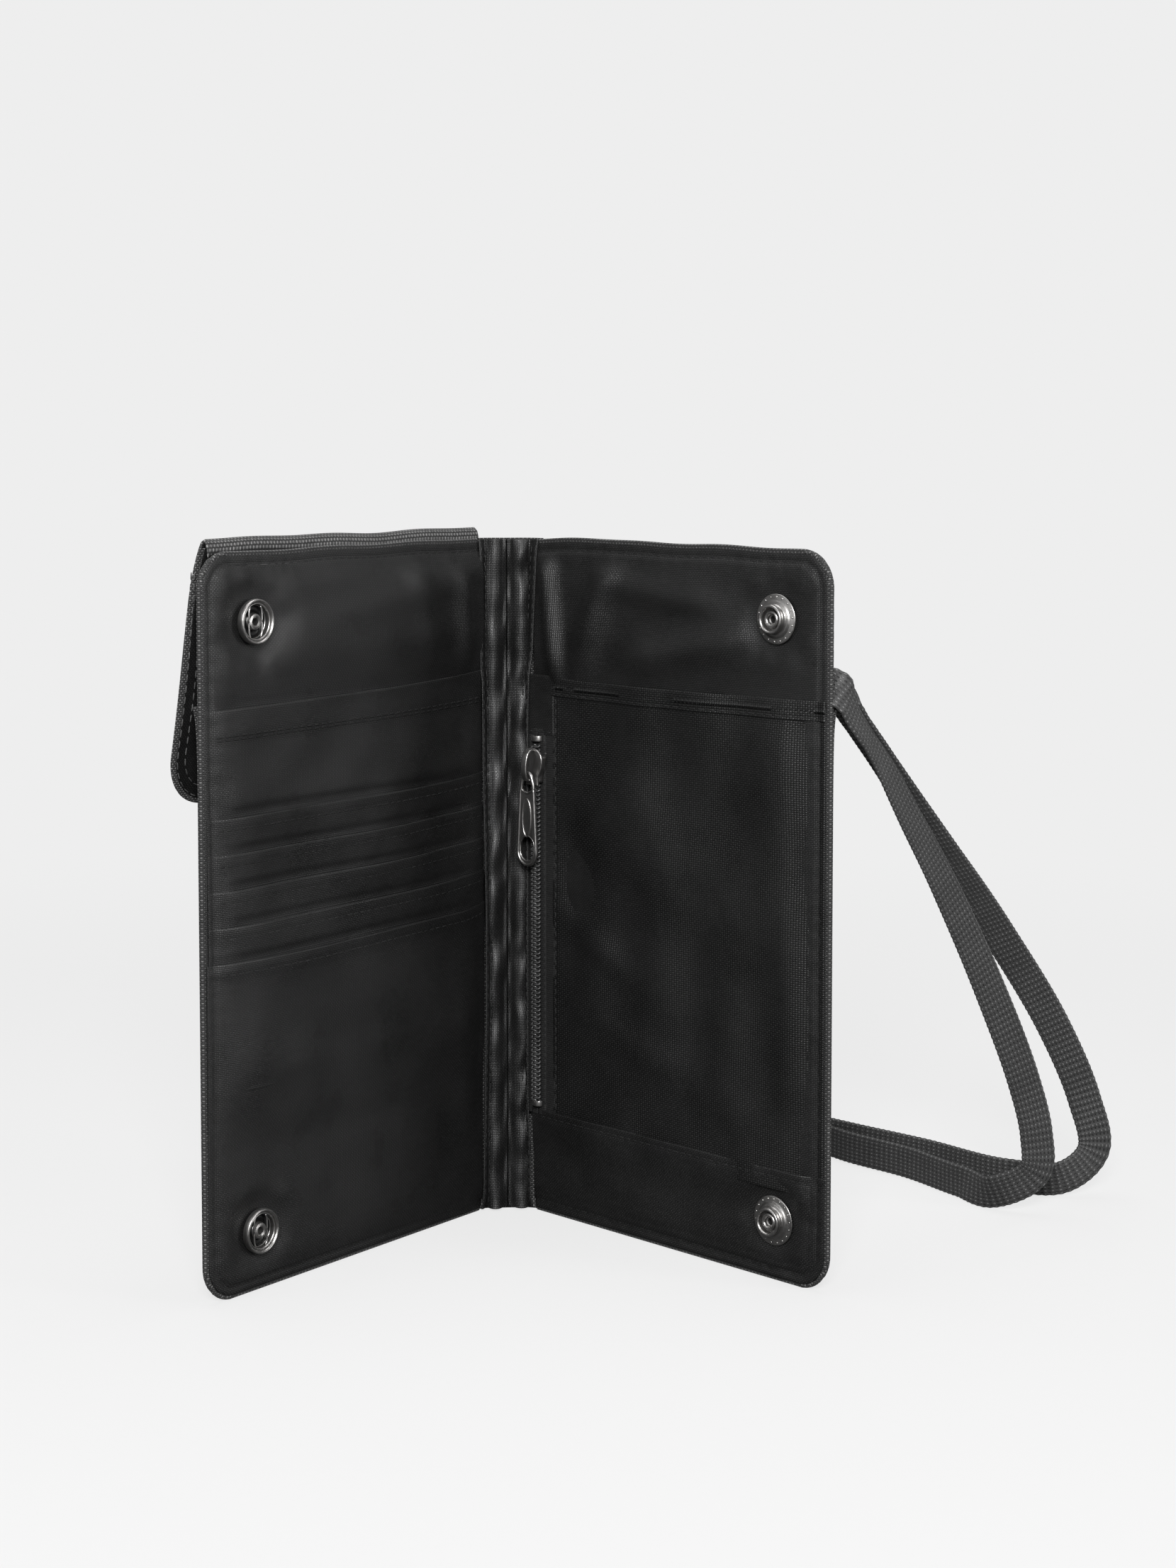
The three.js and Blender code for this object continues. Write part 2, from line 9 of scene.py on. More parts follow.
import bmesh
import bpy
import numpy as np
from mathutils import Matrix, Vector


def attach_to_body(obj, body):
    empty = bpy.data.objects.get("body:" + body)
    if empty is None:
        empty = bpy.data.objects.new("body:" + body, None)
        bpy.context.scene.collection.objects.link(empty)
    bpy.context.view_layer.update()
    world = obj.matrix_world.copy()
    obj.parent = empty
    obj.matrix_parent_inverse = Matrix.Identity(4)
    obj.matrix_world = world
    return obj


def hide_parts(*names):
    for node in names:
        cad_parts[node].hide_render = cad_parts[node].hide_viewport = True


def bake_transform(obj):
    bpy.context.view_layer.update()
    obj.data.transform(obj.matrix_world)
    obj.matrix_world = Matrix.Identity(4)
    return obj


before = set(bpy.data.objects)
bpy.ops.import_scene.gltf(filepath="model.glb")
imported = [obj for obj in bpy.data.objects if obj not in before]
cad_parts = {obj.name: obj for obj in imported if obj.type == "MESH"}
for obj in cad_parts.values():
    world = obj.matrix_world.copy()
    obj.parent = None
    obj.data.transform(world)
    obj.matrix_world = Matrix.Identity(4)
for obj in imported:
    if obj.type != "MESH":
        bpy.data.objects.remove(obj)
MM = 0.001

# ---- The wallet's frame, as in the CAD
OPENING = math.radians(41.2)  # each cover from the plane of symmetry
MIDDLE_X = 4.098  # of the spine
FOLD_X = {"left": MIDDLE_X - 7.5, "right": MIDDLE_X + 7.5}
FOLD_Y = 40.458
SIGN = {"left": -1, "right": 1}
HEIGHT = 200
COVER = 115
CORNER = 10

# ---- Seams and pockets
SEAM = 3.7  # border seam to the edge
RIM = 0.85  # width of the outer fabric that shows round the lining
INNER_SEAM = 2.6
NOTE_TOP = 159.3
SLOT_TOPS = [130, 120.4, 110.8, 101.2, 91.6]
SLOT_DEPTH = 45
NOTE_HEM, NOTE_STITCH = 9.0, 8.0  # depth of the folded hem, and its stitches below the mouth
SLOT_HEM, SLOT_STITCH = 4.2, 3.1
MOUTH_BULGE = 1.5  # how far a pocket's mouth stands off
SNAP_U = 96.8
SNAP_Z = {"upper": 181, "lower": 17}
SNAP_BASE = 1.95
OUTER_POCKET_TOP = 160
OUTER_PANEL_TOP = 159

# ---- Right cover
ZIP_U = 5.7
ZIP_SPAN = (33, 141)
MESH_U = 11.5
MESH_TOP = 159
BAND_TOP = 31.5

# ---- Strap
STRAP_WIDTH = 10
STRAP_THICKNESS = 1.2
STRAP_LEVEL = 164.5


def place(side, u, w, z):
    """Points of a cover's own frame, in the row frame."""
    u, w, z = np.broadcast_arrays(np.asarray(u, float), w, z)
    s, c = math.sin(OPENING), math.cos(OPENING)
    x = FOLD_X[side] + SIGN[side] * (u * s - w * c)
    y = FOLD_Y - u * c - w * s
    return np.stack([x, y, z], -1)


# ---------------------------------------------------------------- helpers for numbers
def smooth(x, low, high):
    t = np.clip((np.asarray(x, float) - low) / (high - low), 0, 1)
    return t * t * (3 - 2 * t)


def bump(x, centre, width):
    return np.exp(-(((np.asarray(x, float) - centre) / width) ** 2))


def arc_of(points):
    """Distance along a line of points."""
    return np.concatenate([[0], np.cumsum(np.linalg.norm(np.diff(points, axis=0), axis=1))])


def at_arc(at, arc, points):
    """The line's points at some distances along it."""
    return [np.interp(at, arc, points[:, k]) for k in range(points.shape[1])]


def waves(u, z, length, seed, along=0.0, spread=math.pi, count=9):
    """Repeatable smooth noise, about -1 to 1. Its waves run within spread of the angle along."""
    rng = np.random.default_rng(seed)
    total = np.zeros(np.broadcast(u, z).shape)
    for _ in range(count):
        angle = along + rng.uniform(-spread, spread)
        k = 2 * math.pi / (length * rng.uniform(0.65, 1.6))
        phase = rng.uniform(0, 2 * math.pi)
        total += np.sin(k * (math.cos(angle) * u + math.sin(angle) * z) + phase)
    return total / math.sqrt(count)


def lines(low, high, step, fine_low=True, fine_high=True):
    """Grid lines from low to high, closer together beside an edge that is rounded."""
    near = np.array([0, 0.06, 0.18, 0.36, 0.62, 1.0, 1.5, 2.1, 2.9, 3.3])
    starts = low + near if fine_low else np.array([low])
    ends = high - near[::-1] if fine_high else np.array([high])
    count = max(2, int(round((ends[0] - starts[-1]) / step)) + 1)
    return np.concatenate([starts, np.linspace(starts[-1], ends[0], count)[1:-1], ends])


# ---------------------------------------------------------------- helpers for meshes
def new_mesh(name, points, faces, cut=None, material=None, smooth_faces=True):
    """A mesh object from points in mm. cut gives each point's place in the flat cloth, as UV."""
    mesh = bpy.data.meshes.new(name)
    mesh.from_pydata((np.asarray(points) * MM).tolist(), [], [list(map(int, f)) for f in faces])
    if cut is not None:
        layer = mesh.uv_layers.new(name="cut")
        index = np.zeros(len(mesh.loops), np.int32)
        mesh.loops.foreach_get("vertex_index", index)
        layer.data.foreach_set("uv", (np.asarray(cut)[index] * MM).astype(np.float32).ravel())
    mesh.polygons.foreach_set("use_smooth", [smooth_faces] * len(mesh.polygons))
    mesh.update()
    thing = bpy.data.objects.new(name, mesh)
    bpy.context.scene.collection.objects.link(thing)
    if material is not None:
        mesh.materials.append(material)
    return thing


def grid_faces(index, flip):
    a, b = index[:-1, :-1].ravel(), index[:-1, 1:].ravel()
    c, d = index[1:, 1:].ravel(), index[1:, :-1].ravel()
    order = (a, d, c, b) if flip else (a, b, c, d)
    return np.stack(order, -1)


def normals_of(points):
    du = np.gradient(points, axis=1)
    dz = np.gradient(points, axis=0)
    n = np.cross(du, dz)
    length = np.linalg.norm(n, axis=-1, keepdims=True)
    return n / np.maximum(length, 1e-9)


def cloth(name, points, half, cut, material, toward=None):
    """A closed sheet of cloth: a grid of points with half its thickness at each, 0 all round the rim.
    toward is the direction that its front faces."""
    rows, columns = points.shape[:2]
    n = normals_of(points)
    if toward is not None and (n.reshape(-1, 3).mean(0) @ toward) < 0:
        n = -n
    flip = (normals_of(points).reshape(-1, 3).mean(0) @ n.reshape(-1, 3).mean(0)) < 0
    front = points + n * half[..., None]
    back = points - n * half[..., None]
    index = np.arange(rows * columns).reshape(rows, columns)
    inner = index[1:-1, 1:-1]
    back_index = index.copy()
    back_index[1:-1, 1:-1] = rows * columns + np.arange(inner.size).reshape(inner.shape)
    all_points = np.concatenate([front.reshape(-1, 3), back[1:-1, 1:-1].reshape(-1, 3)])
    all_cut = np.concatenate([cut.reshape(-1, 2), cut[1:-1, 1:-1].reshape(-1, 2)])
    faces = np.concatenate(
        [
            grid_faces(index, flip),
            grid_faces(back_index, not flip),
        ]
    )
    return new_mesh(name, all_points, faces, all_cut, material)


def pinched(half):
    """Half a cloth's thickness, brought to 0 all round its rim."""
    half[0], half[-1], half[:, 0], half[:, -1] = 0, 0, 0, 0
    return half


def rounded(d, roll):
    """How a cloth's thickness grows with the distance from its edge, as a share of the whole."""
    return np.sqrt(1 - (1 - np.clip(d / roll, 0, 1)) ** 2)


def facing(side, way):
    """The direction that a cover's inner face looks, or its outer face where way is -1."""
    return place(side, 0, way, 0) - place(side, 0, 0, 0)


def attach(thing, slot, body, *nodes):
    """Hides the CAD nodes that a piece stands for and puts it on its body. slot is not used."""
    if nodes:
        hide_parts(*nodes)
    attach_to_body(thing, body)


class Outline:
    """A rectangle in u and z whose outer corners may be rounded."""

    def __init__(self, u0, z0, u1, z1, lower=0.0, upper=0.0):
        self.u0, self.z0, self.u1, self.z1 = u0, z0, u1, z1
        self.lower, self.upper = lower, upper

    def reach(self, z):
        out = np.full(np.shape(z), float(self.u1))
        for r, d in ((self.lower, z - self.z0), (self.upper, self.z1 - z)):
            if r:
                arc = self.u1 - r + np.sqrt(np.maximum(r * r - np.maximum(r - d, 0) ** 2, 0))
                out = np.minimum(out, np.where(d < r, arc, self.u1))
        return out

    def inset(self, u, z, inner=True):
        """How far a point is inside the edge."""
        d = np.minimum(np.minimum(self.u1 - u, z - self.z0), self.z1 - z)
        for r, height in ((self.lower, z - self.z0), (self.upper, self.z1 - z)):
            if r:
                du, dz = u - (self.u1 - r), r - height
                in_corner = (du > 0) & (dz > 0)
                d = np.where(in_corner, r - np.hypot(du, dz), d)
        if inner:
            d = np.minimum(d, u - self.u0)
        return np.maximum(d, 0)


class Panel:
    """A flat-cut sheet on a cover: its outline, the height of its middle and its thickness.
    rise lifts its upper edge by a height for each u, so that a pocket's mouth may curve."""

    def __init__(self, side, outline, middle, thickness, rise=None):
        self.side, self.outline = side, outline
        self.middle, self.thickness = middle, thickness
        self.rise = rise

    def lift(self, u, z):
        if self.rise is None:
            return 0 * u
        return self.rise(u) * smooth(z, self.outline.z1 - 22, self.outline.z1)

    def front(self, u, z):
        u, z = np.asarray(u, float), np.asarray(z, float)
        return self.middle(u, z) + self.thickness(u, z) / 2

    def back(self, u, z):
        u, z = np.asarray(u, float), np.asarray(z, float)
        return self.middle(u, z) - self.thickness(u, z) / 2

    def build(self, name, material, step=1.6, outward=False, roll=0.5):
        o = self.outline
        z = lines(o.z0, o.z1, step)
        s = (lines(0, 100, step) / 100)[None, :]
        z = np.repeat(z[:, None], s.shape[1], 1)
        u = o.u0 + s * (o.reach(z) - o.u0)
        t = self.thickness(u, z)
        half = pinched(t / 2 * rounded(o.inset(u, z), roll))
        points = place(self.side, u, self.middle(u, z), z + self.lift(u, z))
        toward = facing(self.side, -1 if outward else 1)
        return cloth(name, points, half, np.stack([u, z], -1), material, toward)


# ---------------------------------------------------------------- materials
def new_material(name):
    material = bpy.data.materials.new(name)
    material.use_nodes = True
    nodes = material.node_tree.nodes
    return material, nodes, material.node_tree.links, nodes["Principled BSDF"]


def math_node(nodes, links, operation, *inputs, clamp=False):
    node = nodes.new("ShaderNodeMath")
    node.operation = operation
    node.use_clamp = clamp
    for socket, value in zip(node.inputs, inputs):
        if isinstance(value, (int, float)):
            socket.default_value = value
        else:
            links.new(value, socket)
    return node.outputs[0]


def ranged(nodes, links, value, low, high, to_low=0.0, to_high=1.0, smooth_step=True):
    node = nodes.new("ShaderNodeMapRange")
    node.interpolation_type = "SMOOTHSTEP" if smooth_step else "LINEAR"
    links.new(value, node.inputs["Value"])
    for key, number in (("From Min", low), ("From Max", high), ("To Min", to_low), ("To Max", to_high)):
        node.inputs[key].default_value = number
    return node.outputs["Result"]


def noise(nodes, links, vector, scale, detail=3.0, roughness=0.55):
    node = nodes.new("ShaderNodeTexNoise")
    links.new(vector, node.inputs["Vector"])
    node.inputs["Scale"].default_value = scale
    node.inputs["Detail"].default_value = detail
    node.inputs["Roughness"].default_value = roughness
    return node.outputs["Fac"], node.outputs["Color"]


def mixed(nodes, links, factor, a, b, blend="MIX"):
    node = nodes.new("ShaderNodeMix")
    node.data_type = "RGBA"
    node.blend_type = blend
    if isinstance(factor, (int, float)):
        node.inputs["Factor"].default_value = factor
    else:
        links.new(factor, node.inputs["Factor"])
    for key, value in (("A", a), ("B", b)):
        socket = [s for s in node.inputs if s.name == key and s.type == "RGBA"][0]
        if isinstance(value, tuple):
            socket.default_value = (*value, 1)
        else:
            links.new(value, socket)
    return [s for s in node.outputs if s.type == "RGBA"][0]


def grey(value, warm=0.0):
    return (value * (1 + warm), value, value * (1 - warm))


def coordinates(nodes, kind):
    if kind == "cut":
        node = nodes.new("ShaderNodeUVMap")
        node.uv_map = "cut"
        return node.outputs["UV"]
    return nodes.new("ShaderNodeTexCoord").outputs["Object"]


def times_grey(nodes, links, colour, value):
    """A colour multiplied by one value, which stands for a grey."""
    gain = nodes.new("ShaderNodeCombineColor")
    for socket in gain.inputs:
        links.new(value, socket)
    return mixed(nodes, links, 1.0, colour, gain.outputs[0], "MULTIPLY")


def bump_into(nodes, links, shader, height, distance, strength=1.0):
    node = nodes.new("ShaderNodeBump")
    node.inputs["Distance"].default_value = distance
    node.inputs["Strength"].default_value = strength
    links.new(height, node.inputs["Height"])
    links.new(node.outputs["Normal"], shader.inputs["Normal"])


def weave(name, pitch, gap_shade, warp_glint, weft, rough, depth, level, sheen, aspect=1.0, uneven=0.35):
    """Plain weave, drawn along the cloth's own cut. pitch is the distance from yarn to yarn, in mm.
    The over-floats get a painted glint, brighter than the weft, and the gaps between the yarns get painted
    shade."""
    material, nodes, links, shader = new_material(name)
    cut = coordinates(nodes, "cut")
    _, wander = noise(nodes, links, cut, 300, 2)
    shift = nodes.new("ShaderNodeVectorMath")
    shift.operation = "MULTIPLY_ADD"
    links.new(wander, shift.inputs[0])
    shift.inputs[1].default_value = (0.0001, 0.0001, 0)
    links.new(cut, shift.inputs[2])
    scaled = nodes.new("ShaderNodeVectorMath")
    scaled.operation = "MULTIPLY"
    links.new(shift.outputs[0], scaled.inputs[0])
    scaled.inputs[1].default_value = (math.pi / (pitch * MM), math.pi / (pitch * aspect * MM), 0)
    split = nodes.new("ShaderNodeSeparateXYZ")
    links.new(scaled.outputs[0], split.inputs[0])
    sines = [math_node(nodes, links, "SINE", split.outputs[k]) for k in (0, 1)]
    over = math_node(nodes, links, "MULTIPLY", *sines)
    under = math_node(nodes, links, "MULTIPLY", over, -1.0)
    warp_mask = ranged(nodes, links, over, 0.12, 0.85)
    weft_mask = ranged(nodes, links, under, 0.12, 0.85)

    broad, _ = noise(nodes, links, cut, 55, 3)
    fine, _ = noise(nodes, links, cut, 900, 2)
    # Painted shade in the gaps between yarns, then a painted glint on the over-floats.
    colour = mixed(nodes, links, weft_mask, grey(gap_shade), grey(weft))
    colour = mixed(nodes, links, warp_mask, colour, grey(warp_glint, 0.01))
    shade = ranged(nodes, links, broad, 0.3, 0.7, 1 - uneven * 0.5, 1 + uneven * 0.5, False)
    speck = ranged(nodes, links, fine, 0.3, 0.7, 1 - uneven, 1 + uneven, False)
    both = math_node(nodes, links, "MULTIPLY", shade, speck)
    links.new(times_grey(nodes, links, colour, both), shader.inputs["Base Color"])

    dull = math_node(nodes, links, "MULTIPLY", warp_mask, rough[0] - rough[1])
    dull = math_node(nodes, links, "ADD", dull, rough[1])
    dull = math_node(nodes, links, "ADD", dull, ranged(nodes, links, broad, 0.3, 0.7, -0.06, 0.06, False))
    links.new(dull, shader.inputs["Roughness"])
    height = math_node(nodes, links, "ADD", warp_mask, math_node(nodes, links, "MULTIPLY", weft_mask, 0.8))
    bump_into(nodes, links, shader, height, depth * MM)
    shader.inputs["Specular IOR Level"].default_value = level
    shader.inputs["Sheen Weight"].default_value = sheen
    shader.inputs["Sheen Roughness"].default_value = 0.4
    return material


def woven_strap(name):
    """Ribbed webbing: the ribs are in the mesh, and its yarns are drawn along it, with a painted highlight on
    their crests and painted shade in the pits between them.
    """
    material, nodes, links, shader = new_material(name)
    cut = coordinates(nodes, "cut")
    split = nodes.new("ShaderNodeSeparateXYZ")
    links.new(cut, split.inputs[0])
    along = math_node(nodes, links, "MULTIPLY", split.outputs[1], 2 * math.pi / (2.0 * MM))
    across = math_node(nodes, links, "MULTIPLY", split.outputs[0], 2 * math.pi / (1.15 * MM))
    rib = math_node(nodes, links, "COSINE", along)
    yarn = math_node(nodes, links, "COSINE", across)
    fine, _ = noise(nodes, links, cut, 1500, 3)
    broad, _ = noise(nodes, links, cut, 90, 2)
    top, yarn_top = ranged(nodes, links, rib, 0.35, 0.95), ranged(nodes, links, yarn, 0.1, 0.9)
    crest_and_highlight = math_node(nodes, links, "MULTIPLY", top, yarn_top)
    low, yarn_low = ranged(nodes, links, rib, 0.0, -0.8), ranged(nodes, links, yarn, -0.2, -0.9)
    pit_and_shade = math_node(nodes, links, "MULTIPLY", low, yarn_low)
    # Painted shade in the pits and a painted highlight on the crests, over the yarns' own grey.
    colour = mixed(nodes, links, pit_and_shade, grey(0.017), grey(0.004))
    colour = mixed(nodes, links, crest_and_highlight, colour, grey(0.066))
    speck = ranged(nodes, links, fine, 0.3, 0.7, 0.7, 1.3, False)
    patch = ranged(nodes, links, broad, 0.3, 0.7, 0.85, 1.15, False)
    shade = math_node(nodes, links, "MULTIPLY", speck, patch)
    links.new(times_grey(nodes, links, colour, shade), shader.inputs["Base Color"])
    links.new(ranged(nodes, links, fine, 0.3, 0.7, 0.5, 0.7, False), shader.inputs["Roughness"])
    height = math_node(nodes, links, "ADD", crest_and_highlight, math_node(nodes, links, "MULTIPLY", pit_and_shade, -1.0))
    height = math_node(nodes, links, "ADD", height, math_node(nodes, links, "MULTIPLY", fine, 0.4))
    bump_into(nodes, links, shader, height, 0.12 * MM)
    shader.inputs["Specular IOR Level"].default_value = 0.3
    shader.inputs["Sheen Weight"].default_value = 0.05
    return material


def speckled(name, colour, spread, rough, scale, depth, level=0.4, metallic=0.0, kind="Object", sheen=0.0):
    """A moulded, metal or fuzzy surface with fine variation of its colour, gloss and height."""
    material, nodes, links, shader = new_material(name)
    where = coordinates(nodes, kind)
    fine, _ = noise(nodes, links, where, scale, 4, 0.65)
    broad, _ = noise(nodes, links, where, scale * 0.12, 3)
    low = tuple(c * (1 - spread) for c in colour)
    high = tuple(c * (1 + spread) for c in colour)
    base = mixed(nodes, links, ranged(nodes, links, broad, 0.3, 0.7), low, high)
    links.new(base, shader.inputs["Base Color"])
    links.new(ranged(nodes, links, fine, 0.3, 0.7, *rough, False), shader.inputs["Roughness"])
    bump_into(nodes, links, shader, fine, depth * MM)
    shader.inputs["Metallic"].default_value = metallic
    shader.inputs["Specular IOR Level"].default_value = level
    shader.inputs["Sheen Weight"].default_value = sheen
    return material


MATERIALS = {
    # In each weave the darkest colour is painted shade between the yarns, and the brightest carries a painted
    # glint.
    "outer": weave("outer_weave", 0.62, 0.008, 0.11, 0.03, (0.45, 0.7), 0.13, 0.25, 0.05),
    # The shell's fabric is the outer weave painted darker: painted shade on the shell and its rim.
    "cover": weave("cover_weave", 0.62, 0.006, 0.07, 0.02, (0.45, 0.7), 0.13, 0.27, 0.05),
    "lining": weave("lining_weave", 0.5, 0.001, 0.012, 0.003, (0.3, 0.5), 0.05, 0.38, 0.0),
    "mesh": weave("mesh_weave", 0.8, 0.001, 0.01, 0.002, (0.28, 0.52), 0.09, 0.35, 0.0, 0.75),
    "tape": weave("tape_weave", 0.4, 0.003, 0.01, 0.006, (0.5, 0.65), 0.05, 0.25, 0.02, 1.6),
    "webbing": woven_strap("strap_webbing"),
    "thread": speckled("thread", grey(0.007), 0.35, (0.5, 0.7), 2600, 0.05, 0.2),
    "thread_out": speckled("thread_outside", grey(0.035), 0.35, (0.45, 0.65), 2600, 0.05, 0.35),
    "coil": speckled("coil_plastic", grey(0.03), 0.3, (0.2, 0.32), 900, 0.01, 0.5),
    "board": speckled("board_plastic", grey(0.02), 0.15, (0.5, 0.65), 500, 0.02),
    "loop": speckled("loop_pile", grey(0.02), 0.5, (0.8, 0.95), 1900, 0.5, 0.2, sheen=0.3),
    "hook": speckled("hook_pile", grey(0.014), 0.5, (0.4, 0.6), 1300, 0.6, 0.35),
    # Painted shade: a dark copy of the gunmetal, for the disc laid in each socket's recess.
    "recess_shade": speckled("recess_shade_metal", grey(0.03), 0.2, (0.35, 0.5), 1200, 0.002, 0.5, 1.0),
    "metal": speckled("gunmetal", grey(0.3, 0.02), 0.1, (0.3, 0.42), 1200, 0.002, 0.5, 1.0),
}


# ---------------------------------------------------------------- shapes of the cloth
WHOLE = Outline(0, 0, COVER, HEIGHT, CORNER, CORNER)
BORDER = [0, 0.5, 1.2, 2.2, 3.0, SEAM, 4.1, 4.6, 6.5, 9]
BORDER_HEIGHT = [0.35, 0.7, 0.95, 1.1, 1.05, 0.95, 1.43, 1.5, 1.56, 1.6]


def edge_run(u, z):
    """Distance along the nearest outer edge, which puckers beside a seam are spaced on."""
    across = COVER - u
    end = np.minimum(z, HEIGHT - z)
    return np.where(across < end, z, u)


def puckers(run, off, pitch, seed, depth=0.16, reach=4.0):
    """Short ripples that a seam pulls into the cloth, off away from the seam."""
    drift = waves(run, run * 0, 24, seed) * 1.4
    strength = 0.55 + 0.45 * waves(run, run * 0, 37, seed + 1)
    fall = np.exp(-np.abs(off) / reach)
    return depth * strength * fall * np.sin(2 * math.pi * run / pitch + drift)


def near_snap(u, z, inner=6.9, outer=13.0):
    """1 under a snap's base, falling to 0 round it."""
    total = np.zeros(np.broadcast(u, z).shape)
    for height in SNAP_Z.values():
        total = np.maximum(total, 1 - smooth(np.hypot(u - SNAP_U, z - height), inner, outer))
    return total


def snap_rays(u, z, seed, depth=0.28):
    """Ripples that run out from a snap."""
    total = np.zeros(np.broadcast(u, z).shape)
    for i, height in enumerate(SNAP_Z.values()):
        r = np.hypot(u - SNAP_U, z - height)
        angle = np.arctan2(z - height, u - SNAP_U)
        ray = np.sin(5 * angle + seed + i) + 0.6 * np.sin(9 * angle + 2 * seed + 3 * i)
        total += depth * ray * bump(r, 11, 4.5) / 1.6
    return total


def layer_pitch(u, d):
    """From one layer of cloth to the next: less where a seam presses them together."""
    outer = np.interp(d, [0, SEAM, 9, 17], [0.11, 0.12, 0.3, 0.42])
    inner = np.interp(u - INNER_SEAM, [0, 6, 14], [0.2, 0.3, 0.42])
    return np.minimum(outer, inner)


def base_height(u, z, seed):
    """The lining's own height over a cover, with its border, puckers and the snaps' pull."""
    d = WHOLE.inset(u, z, inner=False)
    height = np.interp(d, BORDER, BORDER_HEIGHT)
    height = height + 0.6 * puckers(edge_run(u, z), d - SEAM, 5.2, seed) * smooth(d, 0.8, 2.5)
    flat = smooth(d, 5, 14) * smooth(u, 3, 10)
    height = height + flat * 0.22 * (waves(u, z, 46, seed + 5) + 1)
    return height


def pressed(height, u, z, level, seed):
    """Brings a layer down to the snap's base where the snap holds it."""
    under = near_snap(u, z)
    base = SNAP_BASE - 0.18 - 0.13 * (5 - level) * (level < 5)
    return height * (1 - under) + base * under + snap_rays(u, z, seed) * (1 - under)


def cloth_thickness(value=0.2):
    def thickness(u, z):
        d = WHOLE.inset(u, z, inner=False)
        return np.minimum(value, 0.85 * layer_pitch(u, d)) + 0 * z

    return thickness


def inside_of(u, z):
    return smooth(WHOLE.inset(u, z, inner=False), 4, 10)


def mouth_dips(u, z, level):
    """Over each pocket's mouth, the layers behind it fall back into the pocket."""
    total = 0 * u * z
    for i, top in enumerate([NOTE_TOP] + SLOT_TOPS):
        edge = top + (sag(2.2)(u) if i == 0 else 0.5 * sag(0.9)(u))
        total = total + 0.85 * bump(z - edge - 0.5, 0, 1.3) * (i + 1 > level)
    return total * smooth(WHOLE.inset(u, z, inner=False), 5, 14) * smooth(u, 4, 12)


def left_lining_height(u, z):
    height = base_height(u, z, 11) - 0.3 * mouth_dips(u, z, 0)
    height = height + 1.3 * smooth(z - NOTE_TOP, 0, 16) * inside_of(u, z) * (1 - near_snap(u, z, 8, 20))
    # A crease from the upper snap to the top of the spine, and folds that stand along the spine.
    crease = 0.7 * bump(z - (188 - 0.16 * (u - 20)), 0, 5) * smooth(u, 4, 20)
    crease = crease * (1 - smooth(u, 60, 92))
    sag = 0.6 * bump(z, 172, 7) * bump(u, 62, 26)
    fold = 1.9 * bump(u - 9 - 0.12 * (z - 160), 0, 3.4) * smooth(z, 158, 170) * (1 - smooth(z, 184, 196))
    fold = fold + 1.3 * bump(u - 24 - 0.3 * (z - 165), 0, 5.5) * smooth(z, 160, 172)
    return pressed(height + (crease + sag + fold) * inside_of(u, z), u, z, 0, 1.0)


def left_layer(level, seed):
    """Height of the layer over the lining that is so many layers up."""

    def middle(u, z):
        d = WHOLE.inset(u, z, inner=False)
        up = level(z) if callable(level) else level
        height = base_height(u, z, 11) + 0.3 * smooth(d, 2, 8) + up * layer_pitch(u, d)
        height = height - (0 if callable(level) else mouth_dips(u, z, level))
        height = height + 0.09 * waves(u, z, 17, seed) * smooth(d, 4, 10) * smooth(u, 4, 10)
        soft = waves(u * 0.6, z, 34, 17) * smooth(d, 4, 12) * smooth(u, 4, 12)
        height = height + 0.45 * soft + 0.9 * bump(u - 10 - 0.05 * z, 0, 5) * smooth(soft, -0.4, 0.9)
        return pressed(height, u, z, up, 1.0)

    return middle


def pocket(level, top, hem, stitch, seed, bulge, wave):
    """A pocket's sheet: its mouth stands off in the middle and its hem is folded double."""
    under = left_layer(level, seed)

    def middle(u, z):
        loose = 1 + 0.35 * waves(u, z * 0, 38, seed + 9)
        open_mouth = np.sin(math.pi * np.clip((u - INNER_SEAM) / (COVER - 4 - INNER_SEAM), 0, 1))
        open_mouth = open_mouth * (1 - 0.5 * u / COVER)
        below = np.maximum(top - z, 0)
        inside = smooth(WHOLE.inset(u, z, inner=False), SEAM, SEAM + 3)
        inside = inside * smooth(u, INNER_SEAM, INNER_SEAM + 3)
        height = under(u, z) + bulge * loose * open_mouth * np.exp(-below / 6)
        height = height + hem_thickness(below, hem) / 2 * inside
        groove = -0.16 * bump(below, stitch, 0.4)
        ripple = puckers(u, below - stitch, 3.4, seed + 3, 0.13, 1.6)
        return height + (groove + ripple) * inside + wave * waves(u, z, 30, seed + 7) * inside

    def hem_thickness(below, size):
        return 0.32 * (1 - smooth(below, size - 0.3, size + 0.3))

    def thickness(u, z):
        d = WHOLE.inset(u, z, inner=False)
        inside = smooth(d, 2, SEAM + 2)
        thin = cloth_thickness()(u, z)
        return thin + hem_thickness(top - z, hem) * inside

    return middle, thickness


def sag(rise, corner=1.5):
    """A pocket's mouth isn't quite straight: it drops towards the outer edge, and the spine holds it up."""
    return lambda u: rise * (0.5 - np.asarray(u) / COVER) + corner * np.exp(-np.asarray(u) / 15)


